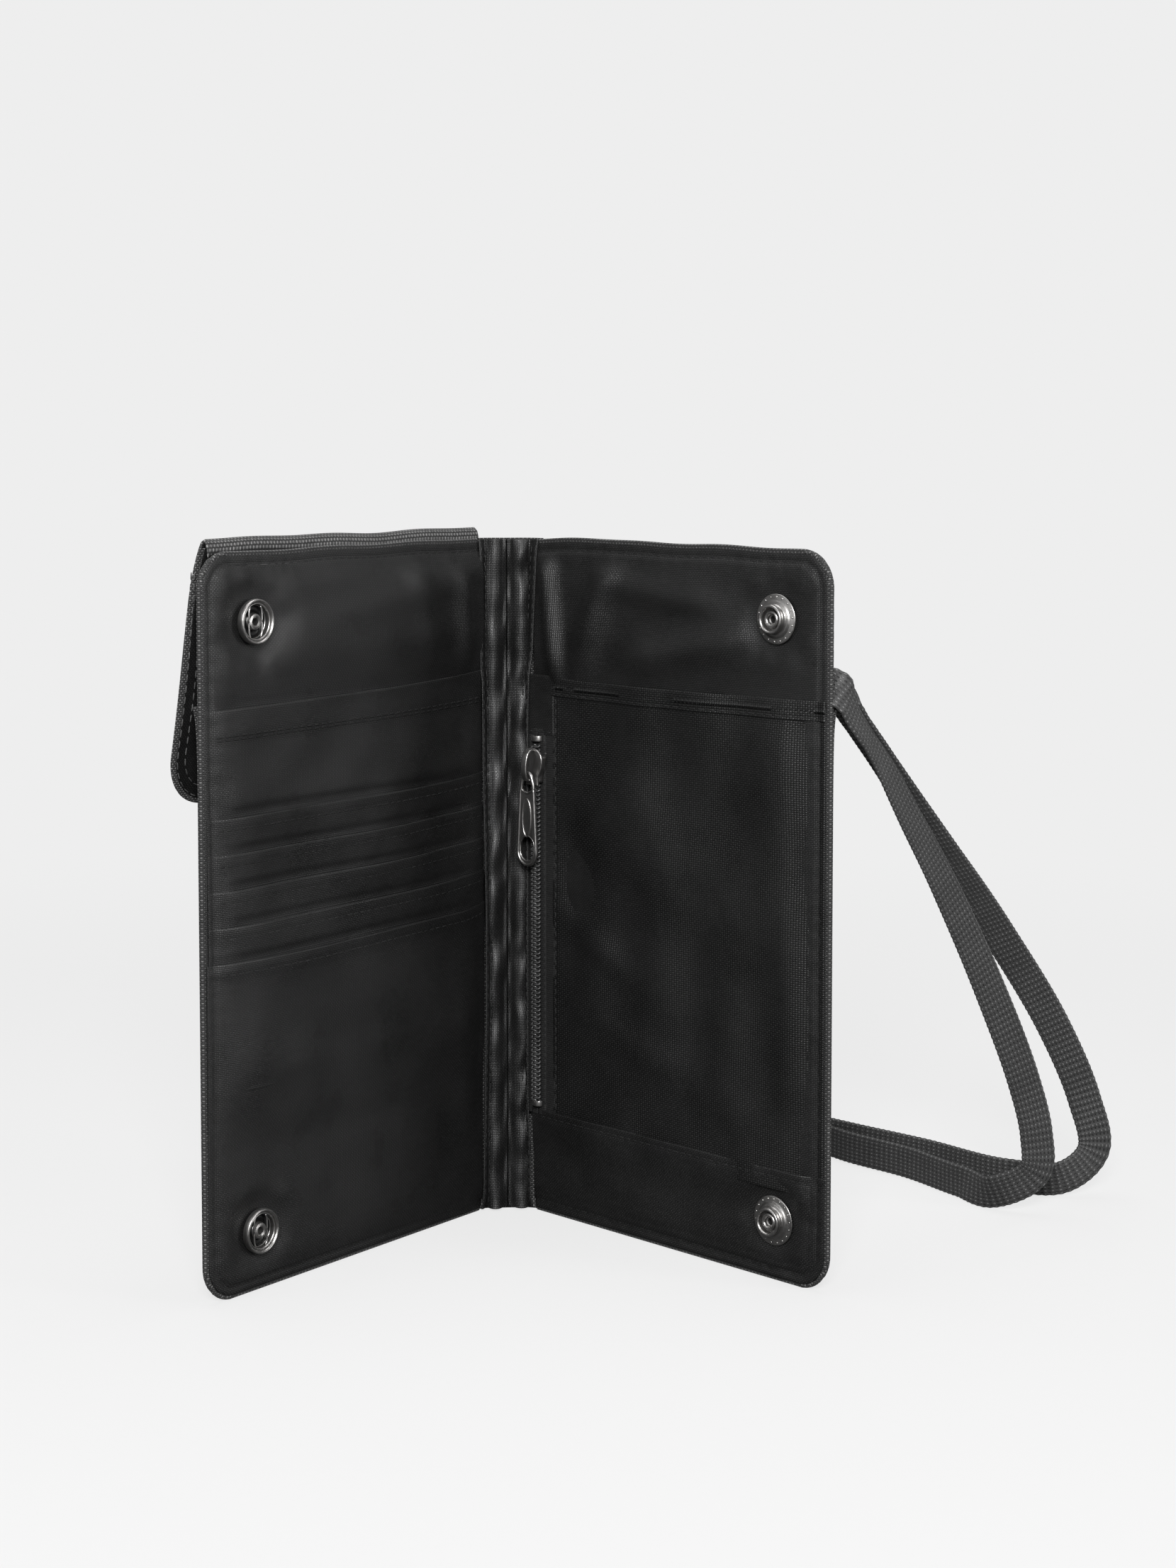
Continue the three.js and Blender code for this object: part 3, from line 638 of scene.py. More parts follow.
# ---------------------------------------------------------------- stitches
def stitch_template():
    rings, sides = [-0.75, -0.3, 0.3, 0.75], 6
    points = [(-1, 0, 0)]
    for x in rings:
        r = math.sqrt(1 - (x * 0.9) ** 2)
        for k in range(sides):
            a = 2 * math.pi * k / sides
            points.append((x, r * math.cos(a), r * math.sin(a)))
    points.append((1, 0, 0))
    faces = [(0, 1 + (k + 1) % sides, 1 + k) for k in range(sides)]
    for ring in range(len(rings) - 1):
        a, b = 1 + ring * sides, 1 + (ring + 1) * sides
        for k in range(sides):
            j = (k + 1) % sides
            faces.append((a + k, a + j, b + j, b + k))
    last = len(points) - 1
    a = 1 + (len(rings) - 1) * sides
    faces += [(last, a + k, a + (k + 1) % sides) for k in range(sides)]
    return np.array(points), faces


STITCH = stitch_template()


class Thread:
    """Collects stitches, each a small raised bead of thread, for one mesh."""

    def __init__(self):
        self.points, self.faces, self.cuts = [], [], []

    def add(self, start, end, normal, width=0.38, height=0.2):
        template, faces = STITCH
        start, end, normal = (np.asarray(v, float) for v in (start, end, normal))
        along = end - start
        length = np.linalg.norm(along)
        if length < 1e-6:
            return
        along = along / length
        side = np.cross(normal, along)
        side /= max(np.linalg.norm(side), 1e-9)
        up = np.cross(along, side)
        middle = (start + end) / 2
        made = (
            middle
            + template[:, :1] * along * length / 2
            + template[:, 1:2] * side * width / 2
            + template[:, 2:] * up * height
        )
        base = len(self.points) * len(template)
        self.points.append(made)
        self.faces += [tuple(base + i for i in f) for f in faces]
        self.cuts.append(template[:, :2] * np.array([length / 2, width / 2]) + len(self.points))

    def run(self, line, normals, pitch=2.9, fill=0.74, width=0.38, height=0.2):
        """Stitches along a line of points."""
        line, normals = np.asarray(line, float), np.asarray(normals, float)
        arc = arc_of(line)
        count = max(1, int(arc[-1] / pitch))
        for i in range(count):
            a = (i + (1 - fill) / 2) * arc[-1] / count
            b = (i + (1 + fill) / 2) * arc[-1] / count
            ends = [[np.interp(t, arc, line[:, k]) for k in range(3)] for t in (a, b)]
            normal = [np.interp((a + b) / 2, arc, normals[:, k]) for k in range(3)]
            self.add(ends[0], ends[1], normal, width, height)

    def on_panel(self, panel, u, z, outward=False, lift=0.02, **shape):
        """Stitches over a panel, along a line of u and z."""
        u, z = np.broadcast_arrays(np.asarray(u, float), np.asarray(z, float))
        w = panel.back(u, z) - lift if outward else panel.front(u, z) + lift
        n = facing(panel.side, -1 if outward else 1)
        line = place(panel.side, u, w, z + panel.lift(u, z))
        self.run(line, np.repeat(n[None], len(u), 0), **shape)

    def build(self, name, material):
        points = np.concatenate(self.points)
        return new_mesh(name, points, self.faces, np.concatenate(self.cuts), material)


def rounded_run(inset, u0, closed_top=True, step=1.0):
    """A line that keeps a distance from a cover's lower, outer and upper edges."""
    r = CORNER - inset
    low, high, far = inset, HEIGHT - inset, COVER - inset
    u = list(np.arange(u0, COVER - CORNER, step))
    points = [(x, low) for x in u]
    for a in np.linspace(-math.pi / 2, 0, 10):
        points.append((COVER - CORNER + r * math.cos(a), CORNER + r * math.sin(a)))
    points += [(far, z) for z in np.arange(CORNER + 1, HEIGHT - CORNER, step)]
    for a in np.linspace(0, math.pi / 2, 10):
        points.append((COVER - CORNER + r * math.cos(a), HEIGHT - CORNER + r * math.sin(a)))
    if closed_top:
        points += [(x, high) for x in u[::-1]]
    return np.array(points)


# ---------------------------------------------------------------- the two covers
def shell_surfaces():
    """The outer fabric of a cover: flat, and turned in round the edge as a raised rim."""

    def front(u, z):
        d = WHOLE.inset(u, z, inner=False)
        return np.interp(d, [0, 0.2, 0.6, RIM - 0.1, RIM + 0.35], [0.3, 0.85, 1.12, 1.05, 0.0])

    def back(u, z):
        d = WHOLE.inset(u, z, inner=False)
        curve = np.interp(d, [0, 0.3, 0.9, 2, SEAM, 5.5], [0.1, -0.45, -0.8, -0.95, -0.72, -0.9])
        slow = 0.12 * waves(u, z, 55, 71) * smooth(d, 5, 15)
        return curve + slow + puckers(edge_run(u, z), d - SEAM, 5.6, 73, 0.08, 3)

    return front, back


def top_wave(side):
    """A cover's upper edge isn't quite straight."""
    return lambda u: 0.4 * waves(u, 0 * u, 44, 131 + SIGN[side]) * (1 - smooth(u, 98, 112))


def build_shell(side):
    front, back = shell_surfaces()
    outline = Outline(2.2, 0, COVER, HEIGHT, CORNER, CORNER)
    panel = Panel(
        side,
        outline,
        lambda u, z: (front(u, z) + back(u, z)) / 2,
        lambda u, z: front(u, z) - back(u, z),
        top_wave(side),
    )
    # The shell takes the outer weave's darker copy, which paints shade on it.
    shell = panel.build(side + "_cover_fabric", MATERIALS["cover"], roll=0.7)
    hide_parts(side + "_shell")
    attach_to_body(shell, side + "_cover")
    return panel


def border_part(keep, u0=INNER_SEAM + 1):
    line = rounded_run(SEAM, u0)
    part = line[keep(line[:, 1])]
    return part[:, 0], part[:, 1]


def cloth_panel(name, node, panel, flat, body, slot="lining", step=1.5, with_pieces=(), **shape):
    """Builds a panel. flat, the size it was cut to or None where it belongs to another sheet, is not used."""
    thing = panel.build(name, MATERIALS[slot], step=step, **shape)
    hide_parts(node)
    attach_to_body(thing, body)
    return thing


def build_left_inside(thread):
    outline = Outline(INNER_SEAM - 0.4, RIM, COVER - RIM, HEIGHT - RIM, CORNER - RIM, CORNER - RIM)
    lining = Panel("left", outline, left_lining_height, cloth_thickness(), top_wave("left"))
    cloth_panel("left_cover_lining", "left_lining", lining, (0.112, 0.198), "left_cover", step=1.3)
    thread.on_panel(lining, *border_part(lambda z: z > NOTE_TOP + 0.8))

    middle, thickness = pocket(1, NOTE_TOP, NOTE_HEM, NOTE_STITCH, 21, MOUTH_BULGE, 0.1)
    outline = Outline(INNER_SEAM - 0.2, 1.3, COVER - RIM, NOTE_TOP, CORNER - RIM)
    note = Panel("left", outline, middle, thickness, sag(2.2))
    cloth_panel("note_pocket_cloth", "note_pocket", note, (0.112, 0.158), "left_cover")
    span = np.linspace(INNER_SEAM + 1, COVER - SEAM - 0.6, 90)
    for below in (7.4, 8.4):
        thread.on_panel(note, span, NOTE_TOP - below, pitch=2.7)
    edge = border_part(lambda z: (z < NOTE_TOP - 1.5) & (z > SLOT_TOPS[0] + 0.5))
    thread.on_panel(note, *edge)

    for i, top in enumerate(SLOT_TOPS[:-1]):
        middle, thickness = pocket(i + 2, top, SLOT_HEM, SLOT_STITCH, 31 + i, MOUTH_BULGE, 0.08)
        outline = Outline(INNER_SEAM, top - SLOT_DEPTH, COVER - 1.6, top)
        slot = Panel("left", outline, middle, thickness, sag(0.9))
        name = f"card_slot_{i + 1}"
        cloth_panel(name + "_cloth", name, slot, (0.111, 0.045), "left_cover")
        thread.on_panel(slot, span, top - SLOT_STITCH, pitch=2.6)
        low = SLOT_TOPS[i + 1] + 0.5
        thread.on_panel(slot, *border_part(lambda z: (z < top - 0.8) & (z > low)))

    top = SLOT_TOPS[-1]
    level = lambda z: np.interp(z, [0, 40, 60, 90], [2.0, 2.2, 6.0, 6.0])
    middle, thickness = pocket(level, top, SLOT_HEM, SLOT_STITCH, 41, MOUTH_BULGE, 0.08)
    outline = Outline(INNER_SEAM, 1.5, COVER - RIM, top, CORNER - RIM)
    front = Panel("left", outline, middle, thickness, sag(0.9))
    cloth_panel("card_slot_5_cloth", "card_slot_5", front, (0.112, 0.091), "left_cover")
    thread.on_panel(front, span, top - SLOT_STITCH, pitch=2.6)
    line = rounded_run(SEAM, INNER_SEAM + 1, closed_top=False)
    line = line[line[:, 1] < top - 1]
    thread.on_panel(front, line[:, 0], line[:, 1])


# ---- Right cover
def right_lining_height(u, z):
    height = base_height(u, z, 51)
    # A fold stands beside the spine, another leans out from it, and the cloth dips between them.
    inner = 2.9 * bump(u - 10 + 0.14 * (z - 180), 0, 3.2) * smooth(z, 150, 168)
    lean = 3.5 * bump(u - 27 - 0.42 * (z - 176), 0, 5) * bump(z, 178, 15)
    drape = 2.1 * bump(z - 168 - 0.16 * (u - 45), 0, 5.5) * smooth(u, 30, 50) * (1 - smooth(u, 78, 92))
    top = 1.2 * bump(z - 187 + 0.1 * (u - 40), 0, 4.2) * smooth(u, 24, 40) * (1 - smooth(u, 66, 84))
    return pressed(height + (inner + lean + drape + top) * inside_of(u, z), u, z, 0, 3.0)


def mesh_height(extra=0.0):
    def middle(u, z):
        d = WHOLE.inset(u, z, inner=False)
        full = np.interp(d, [0, 2, SEAM, 8, 14], [1.0, 1.2, 1.0, 1.9, 2.65])
        side = np.interp(u - MESH_U, [0, 3, 8], [0, 0.05, 0.0])
        belly = 0.5 * np.sin(math.pi * np.clip((u - MESH_U) / (COVER - 4 - MESH_U), 0, 1))
        belly = belly * smooth(z, 28, 60)
        slow = 0.6 * waves(u, z, 36, 61) * smooth(d, 4, 14) * smooth(u, MESH_U, MESH_U + 10)
        slow = slow + 0.9 * bump(z - 58 + 0.3 * (u - 40), 0, 6) * bump(u, 45, 22)
        slow = slow + 0.8 * bump(z - 84 + 0.5 * (u - 30), 0, 5) * bump(u, 30, 14)
        seam = puckers(edge_run(u, z), d - SEAM, 5.4, 62, 0.12, 3.5) * smooth(d, 1, 3)
        inner = puckers(z, u - MESH_U - 1.2, 4.6, 63, 0.12, 2.5)
        inner = inner - 0.15 * bump(u, MESH_U + 1.3, 0.5)
        return full + side + belly + slow + seam + inner + extra

    return middle


def build_right_inside(thread):
    outline = Outline(INNER_SEAM - 0.4, RIM, COVER - RIM, HEIGHT - RIM, CORNER - RIM, CORNER - RIM)
    lining = Panel("right", outline, right_lining_height, cloth_thickness(), top_wave("right"))
    cloth_panel("right_cover_lining", "right_lining", lining, (0.112, 0.198), "right_cover", step=1.3)
    thread.on_panel(lining, *border_part(lambda z: z > MESH_TOP + 0.8))

    def behind(u, z):
        d = WHOLE.inset(u, z, inner=False)
        return base_height(u, z, 51) + 0.25 * smooth(d, 2, 8)

    back = Panel("right", Outline(INNER_SEAM, 26, COVER - 1.6, MESH_TOP - 0.6), behind, cloth_thickness())
    cloth_panel("zip_pocket_lining", "zip_pocket_back", back, (0.111, 0.13), "right_cover")

    def mesh_thickness(u, z):
        d = WHOLE.inset(u, z, inner=False)
        folded = np.maximum(1 - smooth(u - MESH_U, 2.2, 2.8), 0)
        return np.interp(d, [0, SEAM, 9], [0.16, 0.2, 0.34]) + 0.25 * folded

    mesh = Panel("right", Outline(MESH_U, 26, COVER - 1.4, MESH_TOP - 1.0), mesh_height(), mesh_thickness)
    thread.on_panel(mesh, MESH_U + 1.3, np.linspace(32, MESH_TOP - 5, 120), pitch=2.8)
    thread.on_panel(mesh, *border_part(lambda z: (z < MESH_TOP - 5) & (z > BAND_TOP + 1)))

    def hem_height(u, z):
        return mesh_height(0.34)(u, z) - 0.1 * bump(z, MESH_TOP - 4.1, 0.4)

    def hem_thickness(u, z):
        return mesh_thickness(u, z) * 0.9 + 0.1

    hem = Outline(MESH_U - 0.3, MESH_TOP - 5, COVER - 1.4, MESH_TOP + 0.4)
    hem = Panel("right", hem, hem_height, hem_thickness, sag(-0.9))
    pieces = [cloth_panel("mesh_hem_cloth", "mesh_top_hem", hem, None, "right_cover", "mesh", roll=0.5)]
    pieces += build_zip(thread)
    name, flat = "mesh_panel_cloth", (0.102, 0.132)
    cloth_panel(name, "mesh_panel", mesh, flat, "right_cover", "mesh", roll=0.6, with_pieces=pieces)
    thread.on_panel(hem, np.linspace(MESH_U + 0.6, COVER - SEAM - 0.5, 90), MESH_TOP - 4.1, pitch=3.4)

    def tab_height(u, z):
        return 2.9 + 0.08 * waves(u, z, 9, 64) + 0 * u

    tab = Outline(0.2, ZIP_SPAN[1] + 1.5, MESH_U + 0.6, MESH_TOP + 1.2)
    tab = Panel("right", tab, tab_height, lambda u, z: 0.45 + 0 * u)
    cloth_panel("zip_end_tab_cloth", "zip_end_tab", tab, (0.0113, 0.0177), "right_cover", step=0.8)
    thread.on_panel(tab, np.linspace(1.2, MESH_U - 0.2, 12), ZIP_SPAN[1] + 2.6, pitch=2.4)

    def band_height(u, z):
        d = WHOLE.inset(u, z, inner=False)
        full = np.interp(d, [0, 2, SEAM, 8, 14], [1.1, 1.35, 1.05, 1.9, 2.1])
        over = smooth(z, 17, 28) * smooth(d, SEAM, 9)
        height = full + 1.0 * over * np.interp(u, [0, 8, 16], [0.6, 0.8, 1])
        height = height + 0.12 * waves(u, z, 26, 66) * smooth(d, 4, 9)
        height = height + puckers(u, z - (BAND_TOP - 2), 3.8, 67, 0.1, 2.2) * smooth(d, 3, 6)
        height = height - 0.12 * bump(z, BAND_TOP - 2, 0.4)
        height = height + puckers(edge_run(u, z), d - SEAM, 5.1, 68, 0.14, 3) * smooth(d, 1, 3)
        return pressed(height, u, z, 2, 3.0)

    def band_thickness(u, z):
        d = WHOLE.inset(u, z, inner=False)
        hem = 0.2 * smooth(z, BAND_TOP - 4, BAND_TOP - 3.5) * smooth(d, 3, 6)
        return cloth_thickness(0.24)(u, z) + hem

    outline = Outline(INNER_SEAM, 1.3, COVER - RIM, BAND_TOP, CORNER - RIM)
    band = Panel("right", outline, band_height, band_thickness)
    cloth_panel("bottom_band_cloth", "bottom_band", band, (0.112, 0.03), "right_cover", step=1.2)
    thread.on_panel(band, np.linspace(6, COVER - SEAM - 0.5, 100), BAND_TOP - 2, pitch=2.7)
    line = rounded_run(SEAM, INNER_SEAM + 1, closed_top=False)
    line = line[line[:, 1] < BAND_TOP - 0.6]
    thread.on_panel(band, line[:, 0], line[:, 1])


# ---- Outside of the covers
def outside_panel(side, name, node, top, seed, thread):
    """A sheet over the outside of a cover, with an open hem at its top."""

    def middle(u, z):
        d = WHOLE.inset(u, z, inner=False)
        height = np.interp(d, [0, 0.6, 2, SEAM, 6, 12], [-0.75, -1.0, -1.2, -1.05, -1.4, -1.6])
        below = np.maximum(top - z, 0)
        mouth = np.sin(math.pi * np.clip((u - 3) / (COVER - 8), 0, 1)) * np.exp(-below / 14)
        height = height - 1.5 * np.exp(-below / 5) * smooth(u, 88, 112)
        height = height - 0.3 * mouth - 0.12 * (1 - smooth(below, 8.7, 9.3)) * smooth(d, 3, 6)
        height = height + 0.1 * bump(below, 8, 0.4) * smooth(d, 3, 6)
        height = height + 0.12 * waves(u, z, 48, seed) * smooth(d, 5, 14)
        ripples = puckers(edge_run(u, z), d - SEAM, 5.3, seed + 1, 0.1, 3) * smooth(d, 1, 3)
        return height + ripples + puckers(u, below - 8, 4.2, seed + 2, 0.07, 2)

    def thickness(u, z):
        d = WHOLE.inset(u, z, inner=False)
        hem = 0.25 * (1 - smooth(top - z, 8.7, 9.3)) * smooth(d, 3, 6)
        return np.interp(d, [0, SEAM, 8], [0.2, 0.25, 0.4]) + hem

    outline = Outline(2.3, 0.5, COVER - 0.4, top, CORNER - 0.4)
    panel = Panel(side, outline, middle, thickness, sag(1.0))
    body = side + "_cover"
    cloth_panel(name, node, panel, (0.112, 0.159), body, "outer", step=1.8, outward=True, roll=0.6)
    span = np.linspace(4, COVER - SEAM - 0.5, 100)
    for below in (7.5, 8.5):
        thread.on_panel(panel, span, top - below, outward=True, pitch=3.0)
    line = rounded_run(SEAM, 3.4, closed_top=False)
    line = line[line[:, 1] < top - 1]
    thread.on_panel(panel, line[:, 0], line[:, 1], outward=True, pitch=3.0)


# ---- Spine: two halves that meet in its middle
def plan_curve(points, count):
    """A smooth curve through points, as count of them, evenly spread along it."""
    points = np.asarray(points, float)
    padded = np.concatenate([[2 * points[0] - points[1]], points, [2 * points[-1] - points[-2]]])
    out = []
    for i in range(1, len(padded) - 2):
        p0, p1, p2, p3 = padded[i - 1 : i + 3]
        for t in np.linspace(0, 1, 24, endpoint=False):
            out.append(
                0.5
                * (
                    2 * p1
                    + (p2 - p0) * t
                    + (2 * p0 - 5 * p1 + 4 * p2 - p3) * t * t
                    + (3 * p1 - p0 - 3 * p2 + p3) * t**3
                )
            )
    out.append(points[-1])
    out = np.array(out)
    arc = arc_of(out)
    at = np.linspace(0, arc[-1], count)
    return np.stack(at_arc(at, arc, out), -1), at


# Height of the cloth that the spine's lining is sewn over, and where its folded edge lies, by z.
SPINE_STACK = {
    "left": ([0, 4, 60, 91, 131, 158, 162, 195, 200], [1.7, 2.7, 3.9, 3.9, 3.0, 2.7, 2.2, 2.0, 1.6]),
    "right": (
        [0, 4, 17, 28, 34, 141, 160, 167, 194, 200],
        [1.5, 2.4, 2.5, 3.2, 3.4, 3.4, 3.3, 2.1, 1.9, 1.4],
    ),
}
SPINE_EDGE = {"left": ([0, 200], [3.0, 3.1]), "right": ([0, 150, 175, 200], [1.8, 2.0, 2.9, 4.3])}


def spine_half(side, thread):
    """The spine's lining from a cover's inner seam to the spine's middle, with one puffed tuck."""
    sign = SIGN[side]
    z = lines(0.8, HEIGHT - 0.4, 1.3)
    stack = SPINE_STACK[side]
    rows, cuts = [], []
    for height in z:
        w = float(np.interp(height, *stack))
        start = float(np.interp(height, *SPINE_EDGE[side]))
        slow = float(waves(np.array(height), 0.0, 31, 81 + sign))
        quick = float(waves(np.array(height), 0.0, 8.5, 84 + sign))
        end = 1 + 0.35 * (1 - float(smooth(height, 0, 14))) + 0.3 * float(smooth(height, 190, 199))
        puff = (2.6 + 0.4 * slow + 0.25 * quick) * end
        valley = 0.4 + 0.25 * float(waves(np.array(height), 0.0, 24, 87))
        first = place(side, start, w, 0)[:2]
        second = place(side, start - 1.0, w + 0.15, 0)[:2]
        third = place(side, min(0.2, start - 1.6), w * 0.75, 0)[:2]
        shift = 0.25 * slow
        middle = np.array([MIDDLE_X, FOLD_Y])
        plan = [
            first,
            second,
            third,
            middle + [sign * (6.3 + shift), -1.5],
            middle + [sign * (5.2 + shift), -puff * 0.86],
            middle + [sign * (3.9 + shift), -puff],
            middle + [sign * (2.5 + shift), -puff * 0.8],
            middle + [sign * 1.2, -valley - 0.5],
            middle + [0.0, -valley],
        ]
        curve, arc = plan_curve(plan, 44)
        rows.append(np.column_stack([curve, np.full(len(curve), height)]))
        cuts.append(np.column_stack([arc + 40 * (sign + 1), np.full(len(arc), height)]))
    points, cut = np.array(rows), np.array(cuts)
    wrinkle = 0.5 * waves(cut[..., 0] * 1.5, cut[..., 1], 14, 91 + sign, 1.0 * sign, 0.45)
    middle_of = smooth(np.linspace(0, 1, points.shape[1]), 0.15, 0.45)[None, :]
    fade = middle_of * (1 - smooth(np.linspace(0, 1, points.shape[1]), 0.88, 1.0)[None, :])
    points[..., 1] -= wrinkle * fade
    half = np.full(points.shape[:2], 0.14)
    half[:, :3] = [0, 0.14, 0.22]
    half[0], half[-1], half[:, 0], half[:, -1] = 0, 0, 0, 0
    name = f"spine_lining_{side}"
    thing = cloth(name, points, half, cut, MATERIALS["lining"], np.array([0, -1.0, 0]))
    seam = Panel(side, None, lambda u, z: np.interp(z, *stack) + 0.12, lambda u, z: 0.28 + 0 * u)
    at = np.linspace(2, HEIGHT - 2, 200)
    for back in (0.7, 2.3):
        thread.on_panel(seam, np.interp(at, *SPINE_EDGE[side]) - back, at, pitch=2.8)
    return thing


def shell_strip(side):
    """The outer fabric round the fold: from a cover to the spine's middle, on the outside."""
    sign = SIGN[side]
    z = lines(0, HEIGHT, 2.4)
    middle = np.array([MIDDLE_X, FOLD_Y])
    rows, cuts = [], []
    for height in z:
        slow = 0.12 * float(waves(np.array(height), 0.0, 40, 95 + sign))
        plan = [
            place(side, 4.2, -0.62, 0)[:2],
            place(side, 2.4, -0.62, 0)[:2],
            place(side, 0.9, -0.55 - slow, 0)[:2],
            middle + [sign * 6.6, 0.5 + slow],
            middle + [sign * 4.6, 0.85 + slow],
            middle + [sign * 2.0, 0.72],
            middle + [0.0, 0.62],
        ]
        curve, arc = plan_curve(plan, 26)
        rows.append(np.column_stack([curve, np.full(len(curve), height)]))
        cuts.append(np.column_stack([arc + 40 * (sign + 1), np.full(len(arc), height)]))
    points, cut = np.array(rows), np.array(cuts)
    half = np.full(points.shape[:2], 0.4)
    half[:, 1] = 0.2
    half[1], half[-2] = 0.25, 0.25
    half[0], half[-1], half[:, 0], half[:, -1] = 0, 0, 0, 0
    half[1:-1, -1] = 0
    thing = cloth(f"spine_fabric_{side}", points, half, cut, MATERIALS["outer"], np.array([0, 1.0, 0]))
    return thing


def build_spine(threads):
    parts = []
    for side in ("left", "right"):
        parts.append((side, spine_half(side, threads[side + "_cover"])))
        parts.append((side, shell_strip(side)))
    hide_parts("spine_lining")
    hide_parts("spine_shell")
    for side, thing in parts:
        start = Vector(place(side, 1.6, 0, 0)) * MM
        if side == "right":
            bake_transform(thing)
        else:
            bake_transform(thing)


# ---- Flap
FLAP_AXIS = (-2.6, 200.6)
FLAP_FLARE = math.radians(8.5)
FLAP_SPAN = (0.6, 114.3)
FLAP_LENGTH = 70
FLAP_CORNER = 14


def flap_section(down, u, offset=0.0):
    """w and z of the flap's middle at a distance down from its fold. It hangs flared, a little curled."""
    curl = 0.00105 * np.maximum(down - 12, 0) ** 2
    wave = 0.7 * smooth(down, 15, 70) * np.sin(u / 33.0 + 0.8) + 0.35 * waves(u, down, 40, 101)
    wave = wave * smooth(down, 4, 20)
    out = 2.35 + down * math.sin(FLAP_FLARE) * 0.72 + curl + wave + offset
    return -out - 1.0, FLAP_AXIS[1] + 0.3 - down * math.cos(FLAP_FLARE) * 0.998


def flap_sheet(inset, offset):
    """One layer of the flap, hanging from its fold. For the outer layer, build_flap adds the upper part that
    rolls over the cover's top edge and back down inside.
    """
    u0, u1 = FLAP_SPAN[0] + inset, FLAP_SPAN[1] - inset
    length, r = FLAP_LENGTH - inset, FLAP_CORNER - inset
    down = length - lines(0, length, 1.8)
    s = (lines(0, 100, 1.8) / 100)[None, :]
    down = np.repeat(down[:, None], s.shape[1], 1)
    from_end = length - down
    cut_in = np.where(from_end < r, r - np.sqrt(np.maximum(r * r - (r - from_end) ** 2, 0)), 0)
    low, high = u0 + cut_in, u1 - cut_in - 3.5 * np.exp(-np.maximum(down, 0) / 10)
    u = low + s * (high - low)
    w, z = flap_section(down, u, offset)
    return u, w, z, down


def build_flap(thread):
    over = [(-0.35, 198.2), (-0.5, 200.4), (-0.95, 202.0), (-1.75, 202.75), (-2.65, 202.2)]
    for layer, (inset, offset, thick, look, node) in enumerate(
        [(0, 0.0, 0.8, "outer", "flap_shell"), (1.4, -0.62, 0.35, "lining", "flap_lining")]
    ):
        u, w, z, down = flap_sheet(inset, offset)
        if layer == 0:
            # The roll over the top edge: rows are added above the flap's own first row.
            top_u = np.repeat(u[-1:], len(over), 0)
            lift = 0.25 * waves(top_u[0], top_u[0] * 0, 30, 105)
            roll_w = np.array([p[0] for p in over])[::-1, None] + 0 * top_u
            roll_z = np.array([p[1] for p in over])[::-1, None] + lift[None, :]
            u = np.concatenate([u, top_u])
            w = np.concatenate([w, roll_w])
            z = np.concatenate([z, roll_z])
            down = np.concatenate([down, -np.arange(1, len(over) + 1)[:, None] + 0 * top_u])
        points = place("left", u, w, z)
        half = np.full(u.shape, thick / 2)
        edge = np.minimum(
            np.minimum(u - u[:, :1], u[:, -1:] - u), FLAP_LENGTH - inset - down
        )
        half = pinched(half * rounded(edge, 0.7))
        outward = facing("left", -1)
        thing = cloth(node + "_cloth", points, half, np.stack([u, down], -1), MATERIALS[look], outward)
        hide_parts(node)
        start = Vector(place("left", 57, -0.6, 201)) * MM
        end = Vector(place("left", 57, -3.0, 200.3)) * MM
        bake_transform(thing)
    for inset in (1.7, 4.6):
        r = FLAP_CORNER - inset
        low, high = FLAP_SPAN[0] + inset, FLAP_SPAN[1] - inset
        end = FLAP_LENGTH - inset
        quarter = np.linspace(0, math.pi / 2, 10)
        path = [(low, t) for t in np.arange(5, end - r, 1.0)]
        path += [(low + r - r * math.cos(a), end - r + r * math.sin(a)) for a in quarter]
        path += [(t, end) for t in np.arange(low + r, high - r, 1.0)]
        path += [(high - r + r * math.sin(a), end - r + r * math.cos(a)) for a in quarter]
        path += [(high, t) for t in np.arange(end - r, 5, -1.0)]
        path = np.array(path)
        w, z = flap_section(path[:, 1], path[:, 0])
        outward = facing("left", -1)
        for way, lift in ((1, 0.44), (-1, 0.84)):
            line = place("left", path[:, 0], w - way * lift, z)
            thread.run(line, np.repeat(way * outward[None], len(path), 0), pitch=3.0)


# ---- Sweeps, lathes and cut plates
def sweep(name, path, across, profile, material):
    """A solid swept along a path of mm points. across is the direction of the profile's first axis."""
    path, across = np.asarray(path, float), np.asarray(across, float)
    along = np.gradient(path, axis=0)
    along /= np.linalg.norm(along, axis=1, keepdims=True)
    across = across - (across * along).sum(1, keepdims=True) * along
    across /= np.linalg.norm(across, axis=1, keepdims=True)
    up = np.cross(along, across)
    profile = np.asarray(profile, float)
    rings = np.repeat(profile[None], len(path), 0) if profile.ndim == 2 else profile
    points = path[:, None] + rings[..., :1] * across[:, None] + rings[..., 1:2] * up[:, None]
    count = rings.shape[1]
    arc = arc_of(path)
    cut = np.stack([rings[..., 0] + 0 * arc[:, None], arc[:, None] + 0 * rings[..., 0]], -1)
    index = np.arange(len(path) * count).reshape(len(path), count)
    a, b = index[:-1], index[1:]
    faces = np.stack([a, np.roll(a, -1, 1), np.roll(b, -1, 1), b], -1).reshape(-1, 4)
    faces = [tuple(f) for f in faces] + [tuple(index[0][::-1]), tuple(index[-1])]
    thing = new_mesh(name, points.reshape(-1, 3), faces, cut.reshape(-1, 2), material)
    return outward_normals(thing)


def outward_normals(thing):
    work = bmesh.new()
    work.from_mesh(thing.data)
    bmesh.ops.remove_doubles(work, verts=work.verts, dist=1e-7)
    bmesh.ops.recalc_face_normals(work, faces=work.faces)
    work.to_mesh(thing.data)
    work.free()
    return thing


